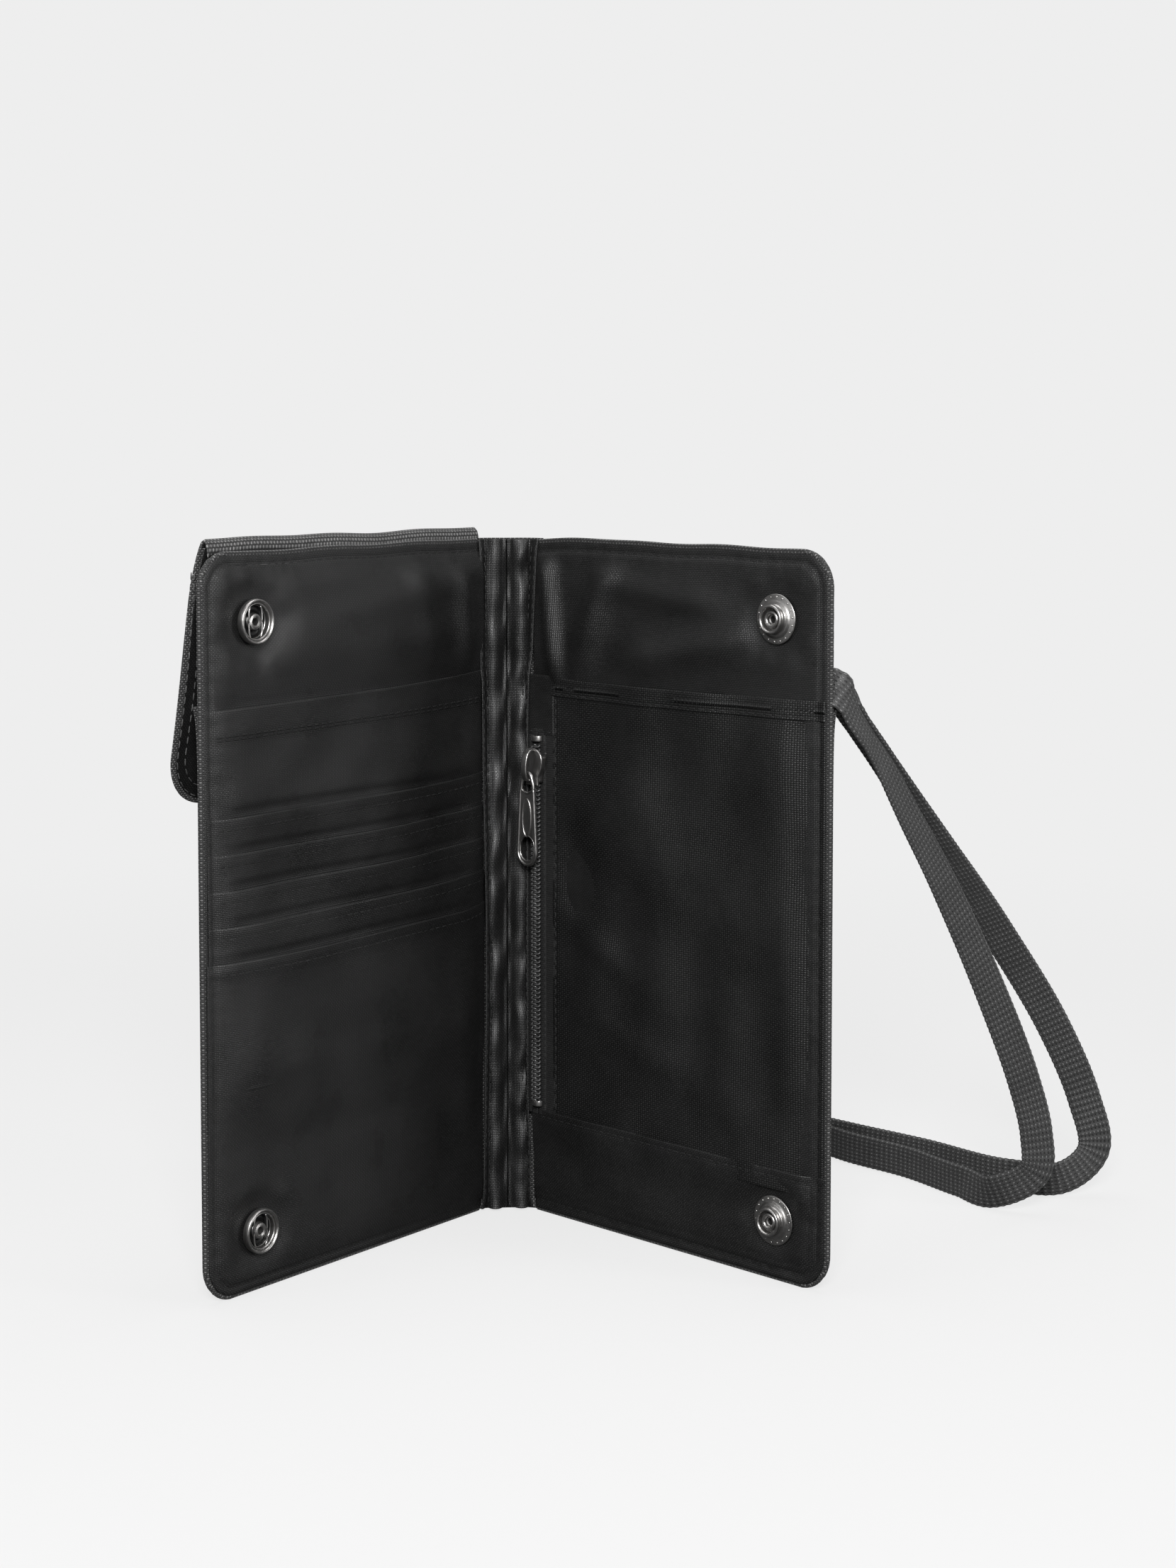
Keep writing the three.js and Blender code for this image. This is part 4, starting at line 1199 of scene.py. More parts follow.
def round_profile(width, height, radius, steps=4):
    """A rectangle with rounded corners, as points round it."""
    points = []
    for cx, cy, start in ((1, 1, 0), (-1, 1, 90), (-1, -1, 180), (1, -1, 270)):
        for k in range(steps + 1):
            a = math.radians(start + 90 * k / steps)
            x = cx * (width / 2 - radius) + radius * math.cos(a)
            points.append((x, cy * (height / 2 - radius) + radius * math.sin(a)))
    return np.array(points)


def tube(name, path, radius, material, across=None, flat=1.0):
    path = np.asarray(path, float)
    if across is None:
        across = np.repeat(np.array([[0.0, 0.0, 1.0]]), len(path), 0)
    a = np.linspace(0, 2 * math.pi, 14, endpoint=False)
    profile = np.column_stack([radius * np.cos(a), flat * radius * np.sin(a)])
    return sweep(name, path, across, profile, material)


def joined_mesh(name, parts):
    """One object from several, with their first material."""
    work = bmesh.new()
    for part in parts:
        work.from_mesh(part.data)
    mesh = bpy.data.meshes.new(name)
    work.to_mesh(mesh)
    work.free()
    mesh.materials.append(parts[0].data.materials[0])
    for part in parts:
        bpy.data.objects.remove(part)
    thing = bpy.data.objects.new(name, mesh)
    bpy.context.scene.collection.objects.link(thing)
    return thing


def lathe(name, side, u, z, profile, material, turns=72):
    """A turned part whose axis stands square on a cover. profile is a closed loop of radius and w."""
    profile = np.asarray(profile, float)
    a = np.linspace(0, 2 * math.pi, turns, endpoint=False)
    r, w = profile[:, 0][None], profile[:, 1][None]
    points = place(side, u + r * np.cos(a)[:, None], w + 0 * a[:, None], z + r * np.sin(a)[:, None])
    count = len(profile)
    index = np.arange(turns * count).reshape(turns, count)
    b = np.roll(index, -1, 0)
    faces = np.stack([index, np.roll(index, -1, 1), np.roll(b, -1, 1), b], -1).reshape(-1, 4)
    return outward_normals(new_mesh(name, points.reshape(-1, 3), faces, None, material))


def rounded_loop(points, radius=0.12, steps=3):
    """A closed profile with each corner rounded."""
    points = [np.array(p, float) for p in points]
    out = []
    for i, p in enumerate(points):
        a, b = points[i - 1] - p, points[(i + 1) % len(points)] - p
        la, lb = np.linalg.norm(a), np.linalg.norm(b)
        r = min(radius, 0.45 * la, 0.45 * lb)
        start, end = p + a / la * r, p + b / lb * r
        for t in np.linspace(0, 1, steps + 1):
            out.append((1 - t) ** 2 * start + 2 * t * (1 - t) * p + t * t * end)
    return np.array(out)


def cut_plate(name, side, splines, low, high, bevel, material):
    """A flat part between two heights over a cover, from closed outlines, with rounded edges."""
    curve = bpy.data.curves.new(name, "CURVE")
    curve.dimensions = "2D"
    curve.fill_mode = "BOTH"
    curve.extrude = (high - low) / 2 - bevel
    curve.bevel_depth = bevel
    curve.bevel_resolution = 2
    curve.offset = -bevel
    for outline in splines:
        spline = curve.splines.new("POLY")
        spline.points.add(len(outline) - 1)
        for point, (x, y) in zip(spline.points, outline):
            point.co = (x, y, 0, 1)
        spline.use_cyclic_u = True
    flat = bpy.data.objects.new(name + "_flat", curve)
    bpy.context.scene.collection.objects.link(flat)
    bpy.context.view_layer.update()
    mesh = bpy.data.meshes.new_from_object(flat.evaluated_get(bpy.context.evaluated_depsgraph_get()))
    bpy.data.objects.remove(flat)
    points = np.zeros(len(mesh.vertices) * 3)
    mesh.vertices.foreach_get("co", points)
    points = points.reshape(-1, 3)
    moved = place(side, points[:, 0], points[:, 2] + (low + high) / 2, points[:, 1]) * MM
    mesh.vertices.foreach_set("co", moved.ravel())
    mesh.name = name
    mesh.materials.clear()
    mesh.materials.append(material)
    mesh.polygons.foreach_set("use_smooth", [True] * len(mesh.polygons))
    thing = bpy.data.objects.new(name, mesh)
    bpy.context.scene.collection.objects.link(thing)
    outward_normals(thing)
    mesh.set_sharp_from_angle(angle=math.radians(50))
    return thing


# ---- Snaps
STUD = [
    (1.35, 2.3), (1.35, 3.95), (1.6, 4.25), (2.05, 4.3), (2.35, 4.05), (2.4, 2.9), (2.95, 2.75),
    (3.05, 4.5), (3.25, 4.85), (3.6, 4.92), (3.95, 4.75), (4.05, 4.35), (3.85, 3.4), (4.05, 2.95),
    (4.7, 2.85), (5.05, 2.6), (5.3, 2.42), (6.6, 2.3), (6.85, 2.15), (6.8, 1.95), (4.0, 1.95), (1.5, 1.95),
]
SOCKET = [
    (1.3, 2.3), (1.3, 2.75), (1.5, 3.0), (1.85, 3.02), (2.15, 2.8), (2.3, 2.08), (4.35, 2.08), (4.55, 2.3),
    (4.6, 3.5), (4.75, 3.75), (5.0, 3.7), (5.1, 3.4), (5.2, 3.4), (5.3, 4.0), (5.65, 4.35), (6.0, 4.2),
    (6.15, 3.6), (6.05, 2.6), (5.75, 2.15), (5.2, 1.95), (1.5, 1.95),
]


def build_snaps():
    metal = MATERIALS["metal"]
    for which, z in SNAP_Z.items():
        profile = rounded_loop(STUD, 0.14)
        stud = lathe(f"{which}_stud_metal", "right", SNAP_U, z, profile, metal)
        marks = []
        for k in range(18):
            a = 2 * math.pi * (k + 0.3) / 18
            spot = [(0.02, 2.2), (0.28, 2.3), (0.24, 2.42), (0.1, 2.5), (0.02, 2.5)]
            where = (SNAP_U + 6.05 * math.cos(a), z + 6.05 * math.sin(a))
            marks.append(lathe(f"dot_{k}", "right", *where, spot, metal, turns=10))
        attach(stud, "gunmetal", "right_cover", f"{which}_stud")
        dots = joined_mesh(f"{which}_stud_dots", marks)
        attach(dots, "gunmetal", "right_cover")

        profile = rounded_loop(SOCKET, 0.14)
        socket = lathe(f"{which}_socket_metal", "left", SNAP_U, z, profile, metal)
        attach(socket, "gunmetal", "left_cover", f"{which}_socket")
        wires = []
        for way in (1, -1):
            # Each arm of the spring bows in from the ring and crosses beside the hole.
            a = np.linspace(-1.12, 1.12, 30)
            reach = 2.45 + 1.35 * (np.abs(a) / 1.12) ** 2
            u = SNAP_U + way * reach * np.cos(a * 0.95)
            path = place("left", u, 3.12 + 0 * a, z + 4.05 * np.sin(a) / math.sin(1.12))
            wires.append(tube(f"arm_{way}", path, 0.24, metal))
        # A thin dark disc on the socket's floor, painted shade in its recess.
        floor = [(2.36, 2.1), (4.5, 2.1), (4.5, 2.16), (2.36, 2.16)]
        recess_shade = lathe(f"{which}_socket_shade_disc", "left", SNAP_U, z, floor, MATERIALS["recess_shade"])
        attach(recess_shade, "gunmetal", "left_cover")
        spring = joined_mesh(f"{which}_socket_spring_wire", wires)
        attach(spring, "gunmetal", "left_cover", f"{which}_socket_spring")


# ---- Zip
TEETH_W = 4.15
COIL_PITCH = 1.3


def build_zip(thread):
    """Tapes, coils and stops. Returns the tapes, which are passed on with the mesh pocket's sheet."""
    tapes = []
    for name, u0, u1 in (("inner", 0.7, ZIP_U - 0.25), ("outer", ZIP_U + 0.25, MESH_U + 0.9)):
        def height(u, z):
            off = np.abs(u - ZIP_U)
            fold = 0.22 * bump(off, 2.9, 0.35)
            return 2.78 + 0.25 * smooth(off, 3.4, 1.2) + 0.05 * waves(u, z, 22, 111) - fold

        outline = Outline(u0, ZIP_SPAN[0] - 3, u1, ZIP_SPAN[1] + 3.4)
        tape = Panel("right", outline, height, lambda u, z: 0.3 + 0 * u)
        node = f"zip_tape_{name}"
        shape = {"step": 0.7, "roll": 0.3}
        tapes.append(cloth_panel(node + "_cloth", node, tape, None, "right_cover", "tape", **shape))
        u = ZIP_U + (2.6 if name == "outer" else -2.6)
        thread.on_panel(tape, u, np.linspace(*ZIP_SPAN, 140), pitch=1.9, width=0.32, height=0.16)
    for name, way, shift in (("inner", -1, 0.0), ("outer", 1, 0.5)):
        turns = (ZIP_SPAN[1] - ZIP_SPAN[0] - 2.4) / COIL_PITCH
        t = np.arange(0, turns, 1 / 20)
        a = 2 * math.pi * (t + shift)
        # Each turn reaches past the middle as a head, and back over the tape.
        u = ZIP_U + way * (0.55 - 0.98 * np.cos(a) + 0.12 * np.cos(2 * a))
        w = TEETH_W + 0.5 * np.sin(a)
        z = ZIP_SPAN[0] + 1.2 + COIL_PITCH * (t + 0.09 * np.sin(2 * a))
        path = place("right", u, w, z)
        coil = tube(f"zip_teeth_{name}_coil", path, 0.29, MATERIALS["coil"])
        attach(coil, "zip_coil", "right_cover", f"zip_teeth_{name}")
    for name, z in (("top", ZIP_SPAN[1] + 0.6), ("bottom", ZIP_SPAN[0] + 0.5)):
        a = np.linspace(0, math.pi, 24)
        path = place("right", ZIP_U + 1.75 * np.cos(a), 3.3 + 1.45 * np.sin(a), z + 0 * a)
        profile = round_profile(1.6, 0.5, 0.16)
        across = np.repeat([[0, 0, 1.0]], len(a), 0)
        stop = sweep(f"zip_{name}_stop_clamp", path, across, profile, MATERIALS["metal"])
        attach(stop, "gunmetal", "right_cover", f"zip_{name}_stop")
    return tapes


def bezier(points, steps=10):
    """Points along joined quadratic curves: start, then pairs of control and end."""
    out = [np.array(points[0], float)]
    for control, end in zip(points[1::2], points[2::2]):
        start, control, end = out[-1], np.array(control, float), np.array(end, float)
        for t in np.linspace(0, 1, steps + 1)[1:]:
            out.append((1 - t) ** 2 * start + 2 * t * (1 - t) * control + t * t * end)
    return out


def slider_outline(grow=0.0):
    z0, z1, half = 128 - grow, 139 + grow, 4.2 + grow
    right = bezier(
        [(2.5 + grow, z0), (2.5 + grow, z0 + 1.6), (2.6 + grow, z0 + 2.6), (half, z0 + 4.5), (half, z1 - 3.4),
         (half - 0.2, z1 - 0.5), (0, z1)]
    )
    left = [(-x, z) for x, z in right[::-1][1:]]
    return [(ZIP_U + x, z) for x, z in right + left]


def build_slider():
    metal = MATERIALS["metal"]
    top = cut_plate("slider_top", "right", [slider_outline()], 4.95, 5.9, 0.3, metal)
    parts = [top]
    for way in (-1, 1):
        z = np.linspace(128.9, 136.5, 14)
        off = np.interp(z, [128.9, 131, 133, 136.5], [2.3, 2.35, 3.2, 3.75])
        path = place("right", ZIP_U + way * off, 4.45 + 0 * z, z)
        inward = facing("right", 1)
        across = np.repeat(inward[None], len(z), 0)
        parts.append(sweep(f"flange_{way}", path, across, round_profile(1.7, 0.5, 0.2), metal))
    body = joined_mesh("slider_body_metal", parts)
    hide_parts("slider_body")
    back = cut_plate("slider_back_metal", "right", [slider_outline(-0.3)], 2.35, 2.85, 0.2, metal)
    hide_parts("slider_back_plate")

    arch = bezier(
        [(5.8, 138.3), (7.2, 138.7), (8.15, 137.2), (8.95, 135.4), (8.9, 132.6), (8.9, 129.7), (7.2, 129.55),
         (6.4, 129.5), (5.8, 130.1)],
        9,
    )
    arch = np.array(arch)
    path = place("right", ZIP_U + 0 * arch[:, 0], arch[:, 0], arch[:, 1])
    out = place("right", 1, 0, 0) - place("right", 0, 0, 0)
    width = np.interp(np.linspace(0, 1, len(arch)), [0, 0.2, 0.7, 1], [2.6, 2.2, 1.9, 1.7])
    profile = np.stack([round_profile(w, 0.62, 0.24) for w in width])
    crown = sweep("slider_crown_metal", path, np.repeat(out[None], len(arch), 0), profile, metal)
    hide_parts("slider_crown")
    for part in (body, back, crown):
        attach(part, "gunmetal", "zip_slider")


PULL_Z, PULL_W, PULL_LENGTH = 131.35, 7.45, 27
PULL_TOP, PULL_TOP_HALF, PULL_HALF = 127.35, 3.1, 4.15


def pull_outline(inset=0.0):
    centre = PULL_Z - PULL_LENGTH + PULL_HALF
    half, top_half = PULL_HALF - inset, PULL_TOP_HALF - inset
    points = [(ZIP_U + top_half, PULL_TOP - inset)]
    for a in np.linspace(0, -math.pi, 25):
        points.append((ZIP_U + half * math.cos(a), centre + half * math.sin(a)))
    points.append((ZIP_U - top_half, PULL_TOP - inset))
    # The top dips in a shallow curve between the two arms.
    for s in np.linspace(-1, 1, 9)[1:-1]:
        points.append((ZIP_U + top_half * s, PULL_TOP - inset - 1.1 * (1 - s * s)))
    return points


def oval(u, z, a, b, count=40, upper=0.0):
    t = np.linspace(0, 2 * math.pi, count, endpoint=False)
    return [(u + a * math.cos(x), z + b * math.sin(x) + upper * (math.sin(x) > 0)) for x in t]


def ring(name, outline, w, radius, material, flat=1.0):
    """A bead that follows a closed outline over the right cover."""
    outline = np.array(outline)
    steps = np.linalg.norm(np.diff(np.vstack([outline, outline[:1]]), axis=0), axis=1)
    arc = np.concatenate([[0], np.cumsum(steps)])
    closed = np.vstack([outline, outline[:1]])
    at = np.linspace(0, arc[-1], int(arc[-1] / 0.35), endpoint=False)
    u, z = (np.interp(at, arc, closed[:, k]) for k in (0, 1))
    path = place("right", u, w + 0 * u, z)
    along = np.roll(path, -1, 0) - np.roll(path, 1, 0)
    along /= np.linalg.norm(along, axis=1, keepdims=True)
    up = np.repeat(facing("right", 1)[None], len(path), 0)
    across = np.cross(along, up)
    a = np.linspace(0, 2 * math.pi, 12, endpoint=False)
    points = (
        path[:, None]
        + radius * np.cos(a)[None, :, None] * across[:, None]
        + flat * radius * np.sin(a)[None, :, None] * up[:, None]
    )
    index = np.arange(len(path) * 12).reshape(len(path), 12)
    b = np.roll(index, -1, 0)
    faces = np.stack([index, np.roll(index, -1, 1), np.roll(b, -1, 1), b], -1).reshape(-1, 4)
    return outward_normals(new_mesh(name, points.reshape(-1, 3), faces, None, material))


def build_pull():
    metal = MATERIALS["metal"]
    centre = PULL_Z - PULL_LENGTH + PULL_HALF
    eye = oval(ZIP_U, centre + 0.3, 2.75, 2.75, upper=1.5)
    plate = cut_plate("pull_plate", "right", [pull_outline(0.3), eye], 7.05, 7.75, 0.12, metal)
    parts = [
        plate,
        ring("pull_rim", pull_outline(0.42), 7.45, 0.44, metal, 1.3),
        ring("pull_eye_rim", oval(ZIP_U, centre + 0.3, 3.0, 3.0, upper=1.5), 7.45, 0.28, metal, 1.4),
        ring("pull_oval", oval(ZIP_U, 118.6, 1.75, 5.6), 7.78, 0.2, metal),
    ]
    arch = bezier(
        [(-2.55, PULL_TOP - 0.5), (-2.55, PULL_TOP + 1.2), (-1.95, PULL_TOP + 2.4), (-1.5, PULL_Z + 0.5),
         (0, PULL_Z + 0.5), (1.5, PULL_Z + 0.5), (1.95, PULL_TOP + 2.4), (2.55, PULL_TOP + 1.2),
         (2.55, PULL_TOP - 0.5)]
    )
    arch = np.array(arch)
    path = place("right", ZIP_U + arch[:, 0], PULL_W + 0 * arch[:, 0], arch[:, 1])
    up = facing("right", 1)
    parts.append(tube("pull_arch", path, 0.5, metal, np.repeat(up[None], len(path), 0)))
    pull = joined_mesh("pull_tab_metal", parts)
    attach(pull, "gunmetal", "zip_pull", "pull_tab")


# ---- Strap
STRAND_A = [
    (32.8, -26.2, 164.5), (44.9, -36.4, 164.2), (61, -52.9, 163.4), (76.3, -70, 162.4), (85.8, -77.5, 160.3),
    (91.5, -72, 153.5), (99.8, -61, 143), (122.8, -37, 112), (144, -13, 84), (163.3, -2, 54), (174.3, 2, 30),
    (177.5, 2.5, 14), (168, 1, 6.2), (152, 8, 5.3), (132, 32, 5.3), (115, 50, 5.3), (104, 62, 5.3),
    (90.2, 75.8, 5.3),
]
STRAND_B = [
    (76.3, -75.9, 164.5), (81.3, -80, 164.2), (86, -84.3, 162.2), (90.7, -79.5, 155), (98, -69, 145),
    (109, -55.5, 126), (121.5, -42, 104.6), (137.4, -28, 73.1), (150.5, -20, 41.8), (155.3, -17.5, 24),
    (155, -17, 13), (144, -12, 5.8), (136, 2, 5.3), (124, 24, 5.3), (108, 44, 5.3), (99.5, 60.2, 5.3),
]
ORIGIN = np.array([MIDDLE_X, FOLD_Y, 0])
COIL_CENTRE = np.array([55, 44])
COIL_START = 47.4
COIL_STEP = 7.6  # per turn
COIL_TURNS = 0.95
# Where the strap turns back at the coil's inner end, ahead of and inwards from the outer run's end.
COIL_TURN_BACK = [
    (10, 0.8), (20, 4.3), (28, 11), (31, 21), (27, 31), (18, 36), (7, 33), (-3, 25.5), (-12, 18.6),
    (-20, 15.9),
]
# The strap's turn about its own length, in degrees, by height.
STRAP_TURN = ([12, 25, 60, 100, 130, 150, 160, 164.4], [0, 5, 12, 30, 48, 58, 50, 0])
LYING_HEIGHT = 5.3  # of the strap's middle, where it stands on its edge


def through(points, step=0.5):
    """Points every step mm along a centripetal curve through points."""
    points = np.asarray(points, float)
    padded = np.concatenate([[2 * points[0] - points[1]], points, [2 * points[-1] - points[-2]]])
    out = []
    for i in range(1, len(padded) - 2):
        p = padded[i - 1 : i + 3]
        t = np.concatenate([[0], np.cumsum(np.linalg.norm(np.diff(p, axis=0), axis=1) ** 0.5)])
        for x in np.linspace(t[1], t[2], 60, endpoint=False):
            a = [((t[k + 1] - x) * p[k] + (x - t[k]) * p[k + 1]) / (t[k + 1] - t[k]) for k in range(3)]
            b = [((t[k + 2] - x) * a[k] + (x - t[k]) * a[k + 1]) / (t[k + 2] - t[k]) for k in range(2)]
            out.append(((t[2] - x) * b[0] + (x - t[1]) * b[1]) / (t[2] - t[1]))
    out = np.array(out + [padded[-2]])
    arc = arc_of(out)
    at = np.linspace(0, arc[-1], max(2, int(round(arc[-1] / step)) + 1))
    return np.stack(at_arc(at, arc, out), -1)


def coil_route(start_angle, inner, turns_end):
    """One of the two runs that wind inwards side by side."""
    a = np.arange(start_angle, turns_end, 0.06)
    main = COIL_START - COIL_STEP * (a - math.radians(42)) / (2 * math.pi)
    if inner:
        r = main - 3.8 * smooth(a, start_angle, start_angle + 1.3)
        r = np.minimum(r, COIL_START)
    else:
        r = main
    x, y = COIL_CENTRE[0] + r * np.cos(a), COIL_CENTRE[1] + r * np.sin(a)
    return np.column_stack([x, y, LYING_HEIGHT + 0 * a])


def strap_route():
    """The whole strap from one sewn end to the other, with the direction of its width."""
    end = math.radians(42) + COIL_TURNS * 2 * math.pi
    run_a = coil_route(math.radians(46), False, end)
    run_b = coil_route(math.radians(24), True, end - 0.9)
    along = np.array([-math.sin(end), math.cos(end)])
    inward = -np.array([math.cos(end), math.sin(end)])
    turn = [run_a[-1][:2] + x * along + y * inward for x, y in COIL_TURN_BACK]
    turn = [(p[0], p[1], LYING_HEIGHT) for p in turn]
    first = [place("right", u, -1.75, STRAP_LEVEL) - ORIGIN for u in (22, 26, 30, 34)]
    last = [place("right", u, -1.75, STRAP_LEVEL) - ORIGIN for u in (88, 92, 96, 100)]
    points = first + STRAND_A + list(run_a) + turn + list(run_b[::-1]) + STRAND_B[::-1] + last[::-1]
    route = through(np.array(points), 0.5)
    along = np.gradient(route, axis=0)
    along /= np.linalg.norm(along, axis=1, keepdims=True)
    # The width faces along Y on the hanging runs, and stands upright in the coil.
    hanging = np.column_stack([-along[:, 2], 0 * along[:, 0], along[:, 0]])
    count_a = len(first) + len(STRAND_A)
    ends = (points[count_a - 3], points[-len(last) - len(STRAND_B) + 2])
    marks = [np.argmin(np.linalg.norm(route - np.array(p), axis=1)) for p in ends]
    across = hanging.copy()
    across[marks[0] : marks[1]] = (0, 0, -1)
    across[marks[1] :] = -hanging[marks[1] :]
    across /= np.linalg.norm(across, axis=1, keepdims=True)
    # Below the cover's edge the strap is still turned half edge-on, and it opens out as it falls.
    turn_by = np.radians(np.interp(route[:, 2], *STRAP_TURN))
    turn_by[marks[1] :] *= -1
    across = across * np.cos(turn_by)[:, None] - np.array([0, 1.0, 0]) * np.sin(turn_by)[:, None]
    return route + ORIGIN, across


def webbing(name, route, across, material):
    """Flat webbing: ribs across it every 2 mm, with a row of raised yarns, and a scalloped edge."""
    arc = np.arange(len(route)) * 0.5
    columns = np.linspace(-1, 1, 19)
    half = STRAP_WIDTH / 2 * (1 + 0.018 * np.cos(2 * math.pi * arc / 2.0))[:, None]
    edge = np.sqrt(np.clip(1 - np.abs(columns) ** 7, 0, 1))[None]
    rib = 0.09 * np.cos(2 * math.pi * arc / 2.0)[:, None] * np.ones_like(columns)[None]
    yarn = 0.05 * np.cos(columns * math.pi * 9)[None] * np.ones_like(arc)[:, None]
    top = (STRAP_THICKNESS / 2 + rib + yarn) * edge
    under = (STRAP_THICKNESS / 2 - rib + yarn) * edge
    x = columns[None] * half
    front = np.stack([x, top], -1)
    back = np.stack([x, -under], -1)[:, 1:-1][:, ::-1]
    profile = np.concatenate([front, back], 1)
    return sweep(name, route, across, profile, material)


def build_strap():
    route, across = strap_route()
    strap = webbing("neck_strap", route, across, MATERIALS["webbing"])
    nodes = ("strap_end_a", "strap_end_b", "strap_strand_a", "strap_strand_b", "strap_coil")
    attach(strap, "webbing", "right_cover", *nodes)
    path = [tuple(p * MM) for p in route[::6]]
    if tuple(route[-1] * MM) != path[-1]:
        path.append(tuple(route[-1] * MM))


def build_strap_stitches(thread):
    """A sewn box with a cross holds each end of the strap."""
    out = facing("right", -1)
    for u0 in (22, 88):
        a, b = u0 + 1.2, u0 + 12.8
        low, high = STRAP_LEVEL - 3.8, STRAP_LEVEL + 3.8
        corners = [(a, low), (b, low), (b, high), (a, high), (a, low), (b, high), (a, high), (b, low)]
        for (u_0, z_0), (u_1, z_1) in zip(corners[:-1], corners[1:]):
            line = place("right", np.linspace(u_0, u_1, 12), -2.52, np.linspace(z_0, z_1, 12))
            thread.run(line, np.repeat(out[None], 12, 0), pitch=1.9, width=0.4, height=0.22)


# ---- Hook and loop
def build_patches():
    loop = Panel("left", Outline(27.5, 134.5, 87.5, 149.5), lambda u, z: -2.35 - 0.12 * waves(u, z, 3.0, 131),
                 lambda u, z: 0.75 + 0 * u)
    thing = loop.build("loop_patch_pile", MATERIALS["loop"], step=1.2, outward=True, roll=1.2)
    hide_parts("loop_patch")
    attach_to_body(thing, "left_cover")

    u = lines(27.5, 87.5, 1.5)[None, :]
    down = lines(50.5, 65.5, 1.2)[::-1][:, None]
    u, down = np.broadcast_arrays(u, down)
    w, z = flap_section(down, u, -1.15)
    points = place("left", u, w, z)
    edge = np.minimum(np.minimum(u - 27.5, 87.5 - u), np.minimum(down - 50.5, 65.5 - down))
    half = pinched(0.3 * rounded(edge, 0.5))
    outward = facing("left", -1)
    hook = cloth("hook_patch_pile", points, half, np.stack([u, down], -1), MATERIALS["hook"], -outward)
    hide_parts("hook_patch")
    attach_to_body(hook, "flap")


# ---------------------------------------------------------------- camera, floor and light
BACKDROP = 0.855
CAMERA_PLACE = (-22.34, -752.77, 232.4)
CAMERA_DOWN = 4  # degrees below level
CAMERA_TURN = 3.634  # degrees to the right of straight ahead


def build_camera():
    camera = bpy.data.objects.new("camera", bpy.data.cameras.new("camera"))
    bpy.context.scene.collection.objects.link(camera)
    camera.location = Vector(CAMERA_PLACE) * MM
    camera.rotation_euler = (math.radians(90 - CAMERA_DOWN), 0, math.radians(-CAMERA_TURN))
    camera.data.lens = 62.18
    camera.data.sensor_width = 36
    camera.data.shift_y = -0.107
    camera.data.clip_start = 0.01
    bpy.context.scene.camera = camera


def build_floor():
    """A pale disc. Far out it glows like the backdrop, so that no horizon shows."""
    a = np.linspace(0, 2 * math.pi, 96, endpoint=False)
    rings = [150, 400, 900, 2000, 4000]
    points = [(0, 0, 0)]
    for r in rings:
        points += [(r * math.cos(x), r * math.sin(x), 0) for x in a]
    faces = [(0, 1 + k, 1 + (k + 1) % 96) for k in range(96)]
    for i in range(len(rings) - 1):
        p, q = 1 + i * 96, 1 + (i + 1) * 96
        faces += [(p + k, q + k, q + (k + 1) % 96, p + (k + 1) % 96) for k in range(96)]
    material, nodes, links, shader = new_material("floor_paper")
    where = coordinates(nodes, "Object")
    length = nodes.new("ShaderNodeVectorMath")
    length.operation = "LENGTH"
    links.new(where, length.inputs[0])
    far = ranged(nodes, links, length.outputs["Value"], 0.25, 0.75, 0.84, 1.0)
    glow = nodes.new("ShaderNodeEmission")
    glow.inputs["Color"].default_value = (BACKDROP, BACKDROP, BACKDROP, 1)
    fine, _ = noise(nodes, links, where, 300, 2)
    links.new(ranged(nodes, links, fine, 0, 1, 0.5, 0.52, False), shader.inputs["Base Color"])
    shader.inputs["Roughness"].default_value = 0.9
    shader.inputs["Specular IOR Level"].default_value = 0.1
    mix = nodes.new("ShaderNodeMixShader")
    links.new(far, mix.inputs[0])
    links.new(shader.outputs[0], mix.inputs[1])
    links.new(glow.outputs[0], mix.inputs[2])
    links.new(mix.outputs[0], nodes["Material Output"].inputs["Surface"])
    floor = new_mesh("floor", points, faces, None, material)
    floor.visible_glossy = False


def build_world():
    """Even light from a pale room, brighter overhead and darker behind the camera."""
    world = bpy.data.worlds.new("room")
    bpy.context.scene.world = world
    world.use_nodes = True
    nodes, links = world.node_tree.nodes, world.node_tree.links
    split = nodes.new("ShaderNodeSeparateXYZ")
    links.new(nodes.new("ShaderNodeTexCoord").outputs["Generated"], split.inputs[0])
    up = ranged(nodes, links, split.outputs[2], -0.1, 1.0, 0.1, 0.32)
    back = ranged(nodes, links, split.outputs[1], -0.9, 0.6, 0.5, 1.0)
    room = nodes["Background"]
    room.inputs["Color"].default_value = (1, 1, 1, 1)
    links.new(math_node(nodes, links, "MULTIPLY", up, back), room.inputs["Strength"])
    seen = nodes.new("ShaderNodeBackground")
    seen.inputs["Color"].default_value = (BACKDROP, BACKDROP, BACKDROP, 1)
    mix = nodes.new("ShaderNodeMixShader")
    links.new(nodes.new("ShaderNodeLightPath").outputs["Is Camera Ray"], mix.inputs[0])
    links.new(room.outputs[0], mix.inputs[1])
    links.new(seen.outputs[0], mix.inputs[2])
    links.new(mix.outputs[0], nodes["World Output"].inputs["Surface"])


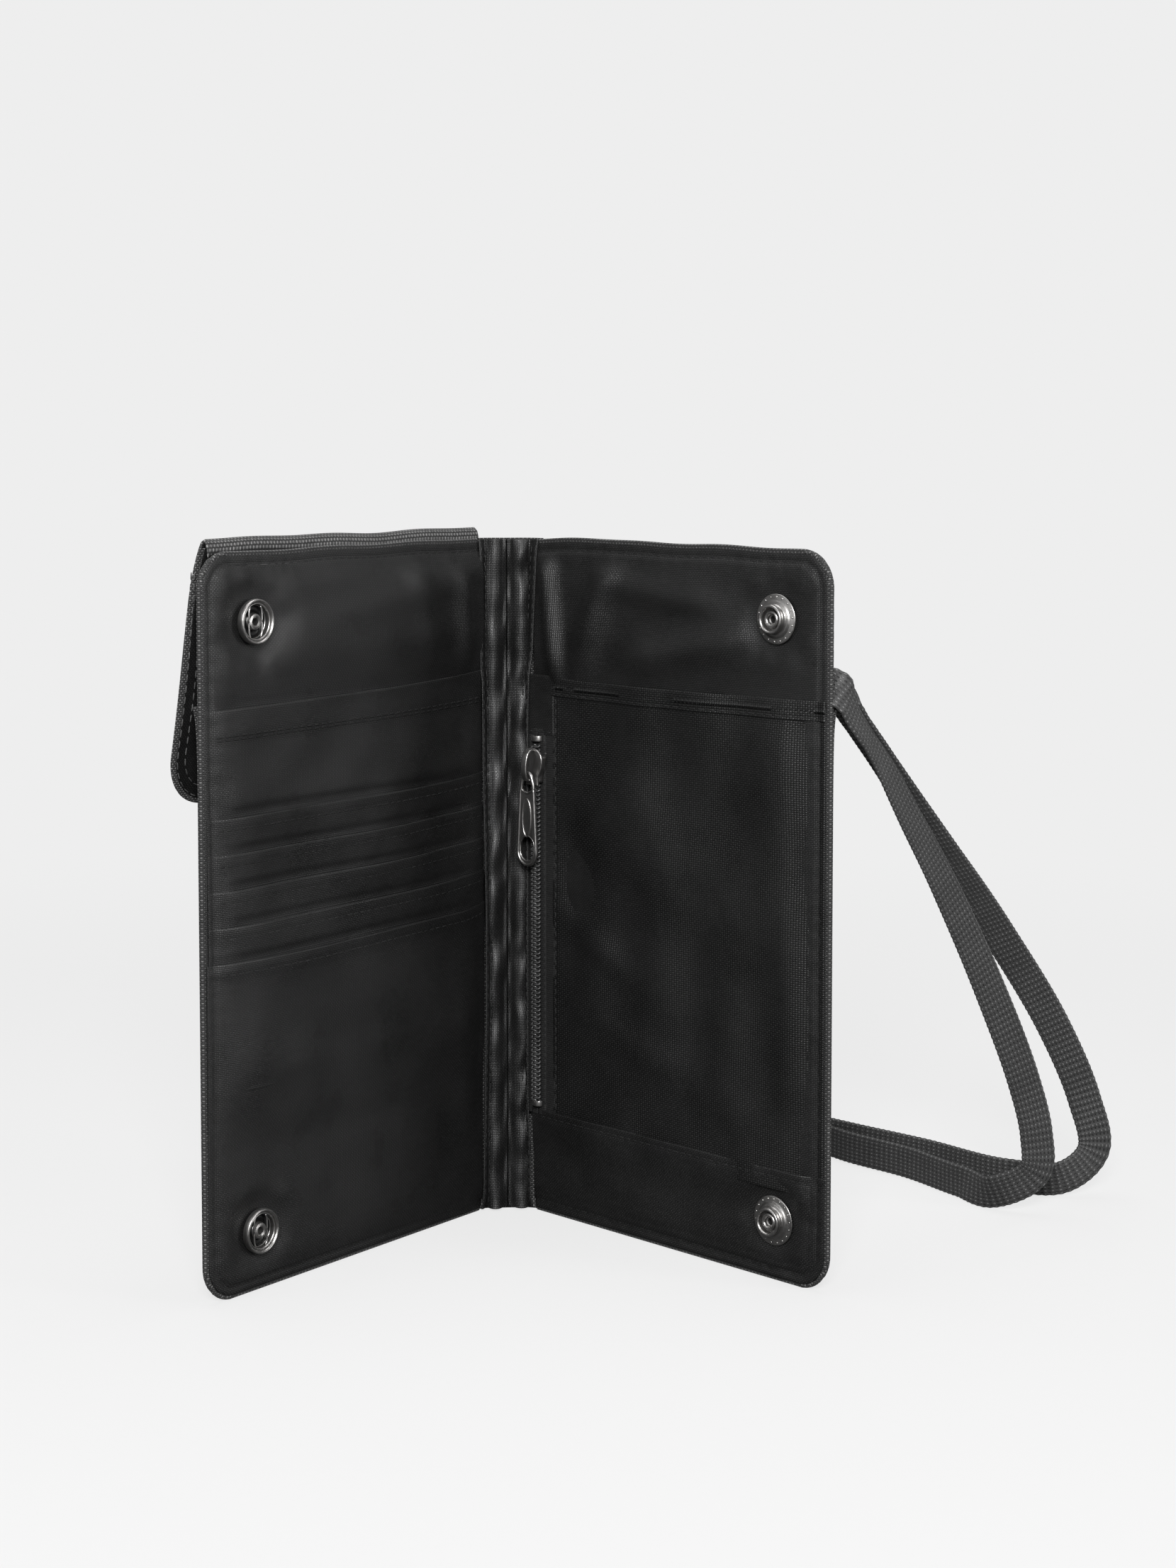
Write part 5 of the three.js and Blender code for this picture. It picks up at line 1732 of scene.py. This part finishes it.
# Name, place and size in m, power in W
SOFTBOXES = (
    ("front_softbox", (-0.05, -1.0, 0.6), (0.35, 0.3), 26),
    ("left_softbox", (-1.0, -0.5, 0.35), (0.25, 0.6), 2.0),
    ("right_softbox", (1.0, -0.5, 0.35), (0.25, 0.6), 6.5),
    ("top_softbox", (0.0, 0.1, 1.2), (0.9, 0.6), 12),
)


def build_lights():
    target = Vector((0, 0, 0.1))
    for name, where, size, power in SOFTBOXES:
        data = bpy.data.lights.new(name, "AREA")
        data.shape = "RECTANGLE"
        data.size, data.size_y = size
        data.energy = power
        light = bpy.data.objects.new(name, data)
        light.location = where
        light.rotation_euler = (target - Vector(where)).to_track_quat("-Z", "Y").to_euler()
        bpy.context.scene.collection.objects.link(light)


# ---------------------------------------------------------------- the whole scene
def finish_cad_nodes():
    for name in ("right_board", "left_board"):
        set_material(name, MATERIALS["board"])
    for name in NODES_IN_METAL:
        set_material(name, MATERIALS["metal"])


NODES_IN_METAL = (
    "upper_stud_post", "lower_stud_post", "upper_socket_post", "lower_socket_post",
)


def set_material(name, material):
    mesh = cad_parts[name].data
    mesh.materials.clear()
    mesh.materials.append(material)


def main():
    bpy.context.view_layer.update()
    bpy.context.scene.view_settings.view_transform = "Standard"
    build_camera()
    build_strap()
    threads = {name: Thread() for name in ("left_cover", "right_cover", "flap", "left_out", "right_out")}
    build_shell("left")
    build_shell("right")
    build_left_inside(threads["left_cover"])
    build_right_inside(threads["right_cover"])
    build_spine(threads)
    outside_panel("left", "outer_pocket_cloth", "outer_pocket", OUTER_POCKET_TOP, 121, threads["left_out"])
    outside_panel("right", "outer_panel_cloth", "outer_panel", OUTER_PANEL_TOP, 126, threads["right_out"])
    build_flap(threads["flap"])
    build_patches()
    build_snaps()
    build_slider()
    build_pull()
    build_strap_stitches(threads["right_out"])
    bodies = {"left_out": "left_cover", "right_out": "right_cover"}
    for name, thread in threads.items():
        look = "thread" if name.endswith("cover") else "thread_out"
        stitches = thread.build(name + "_stitches", MATERIALS[look])
        attach(stitches, "lining" if look == "thread" else "outer_fabric", bodies.get(name, name))
    finish_cad_nodes()
    build_floor()
    build_world()
    build_lights()
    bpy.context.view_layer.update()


main()
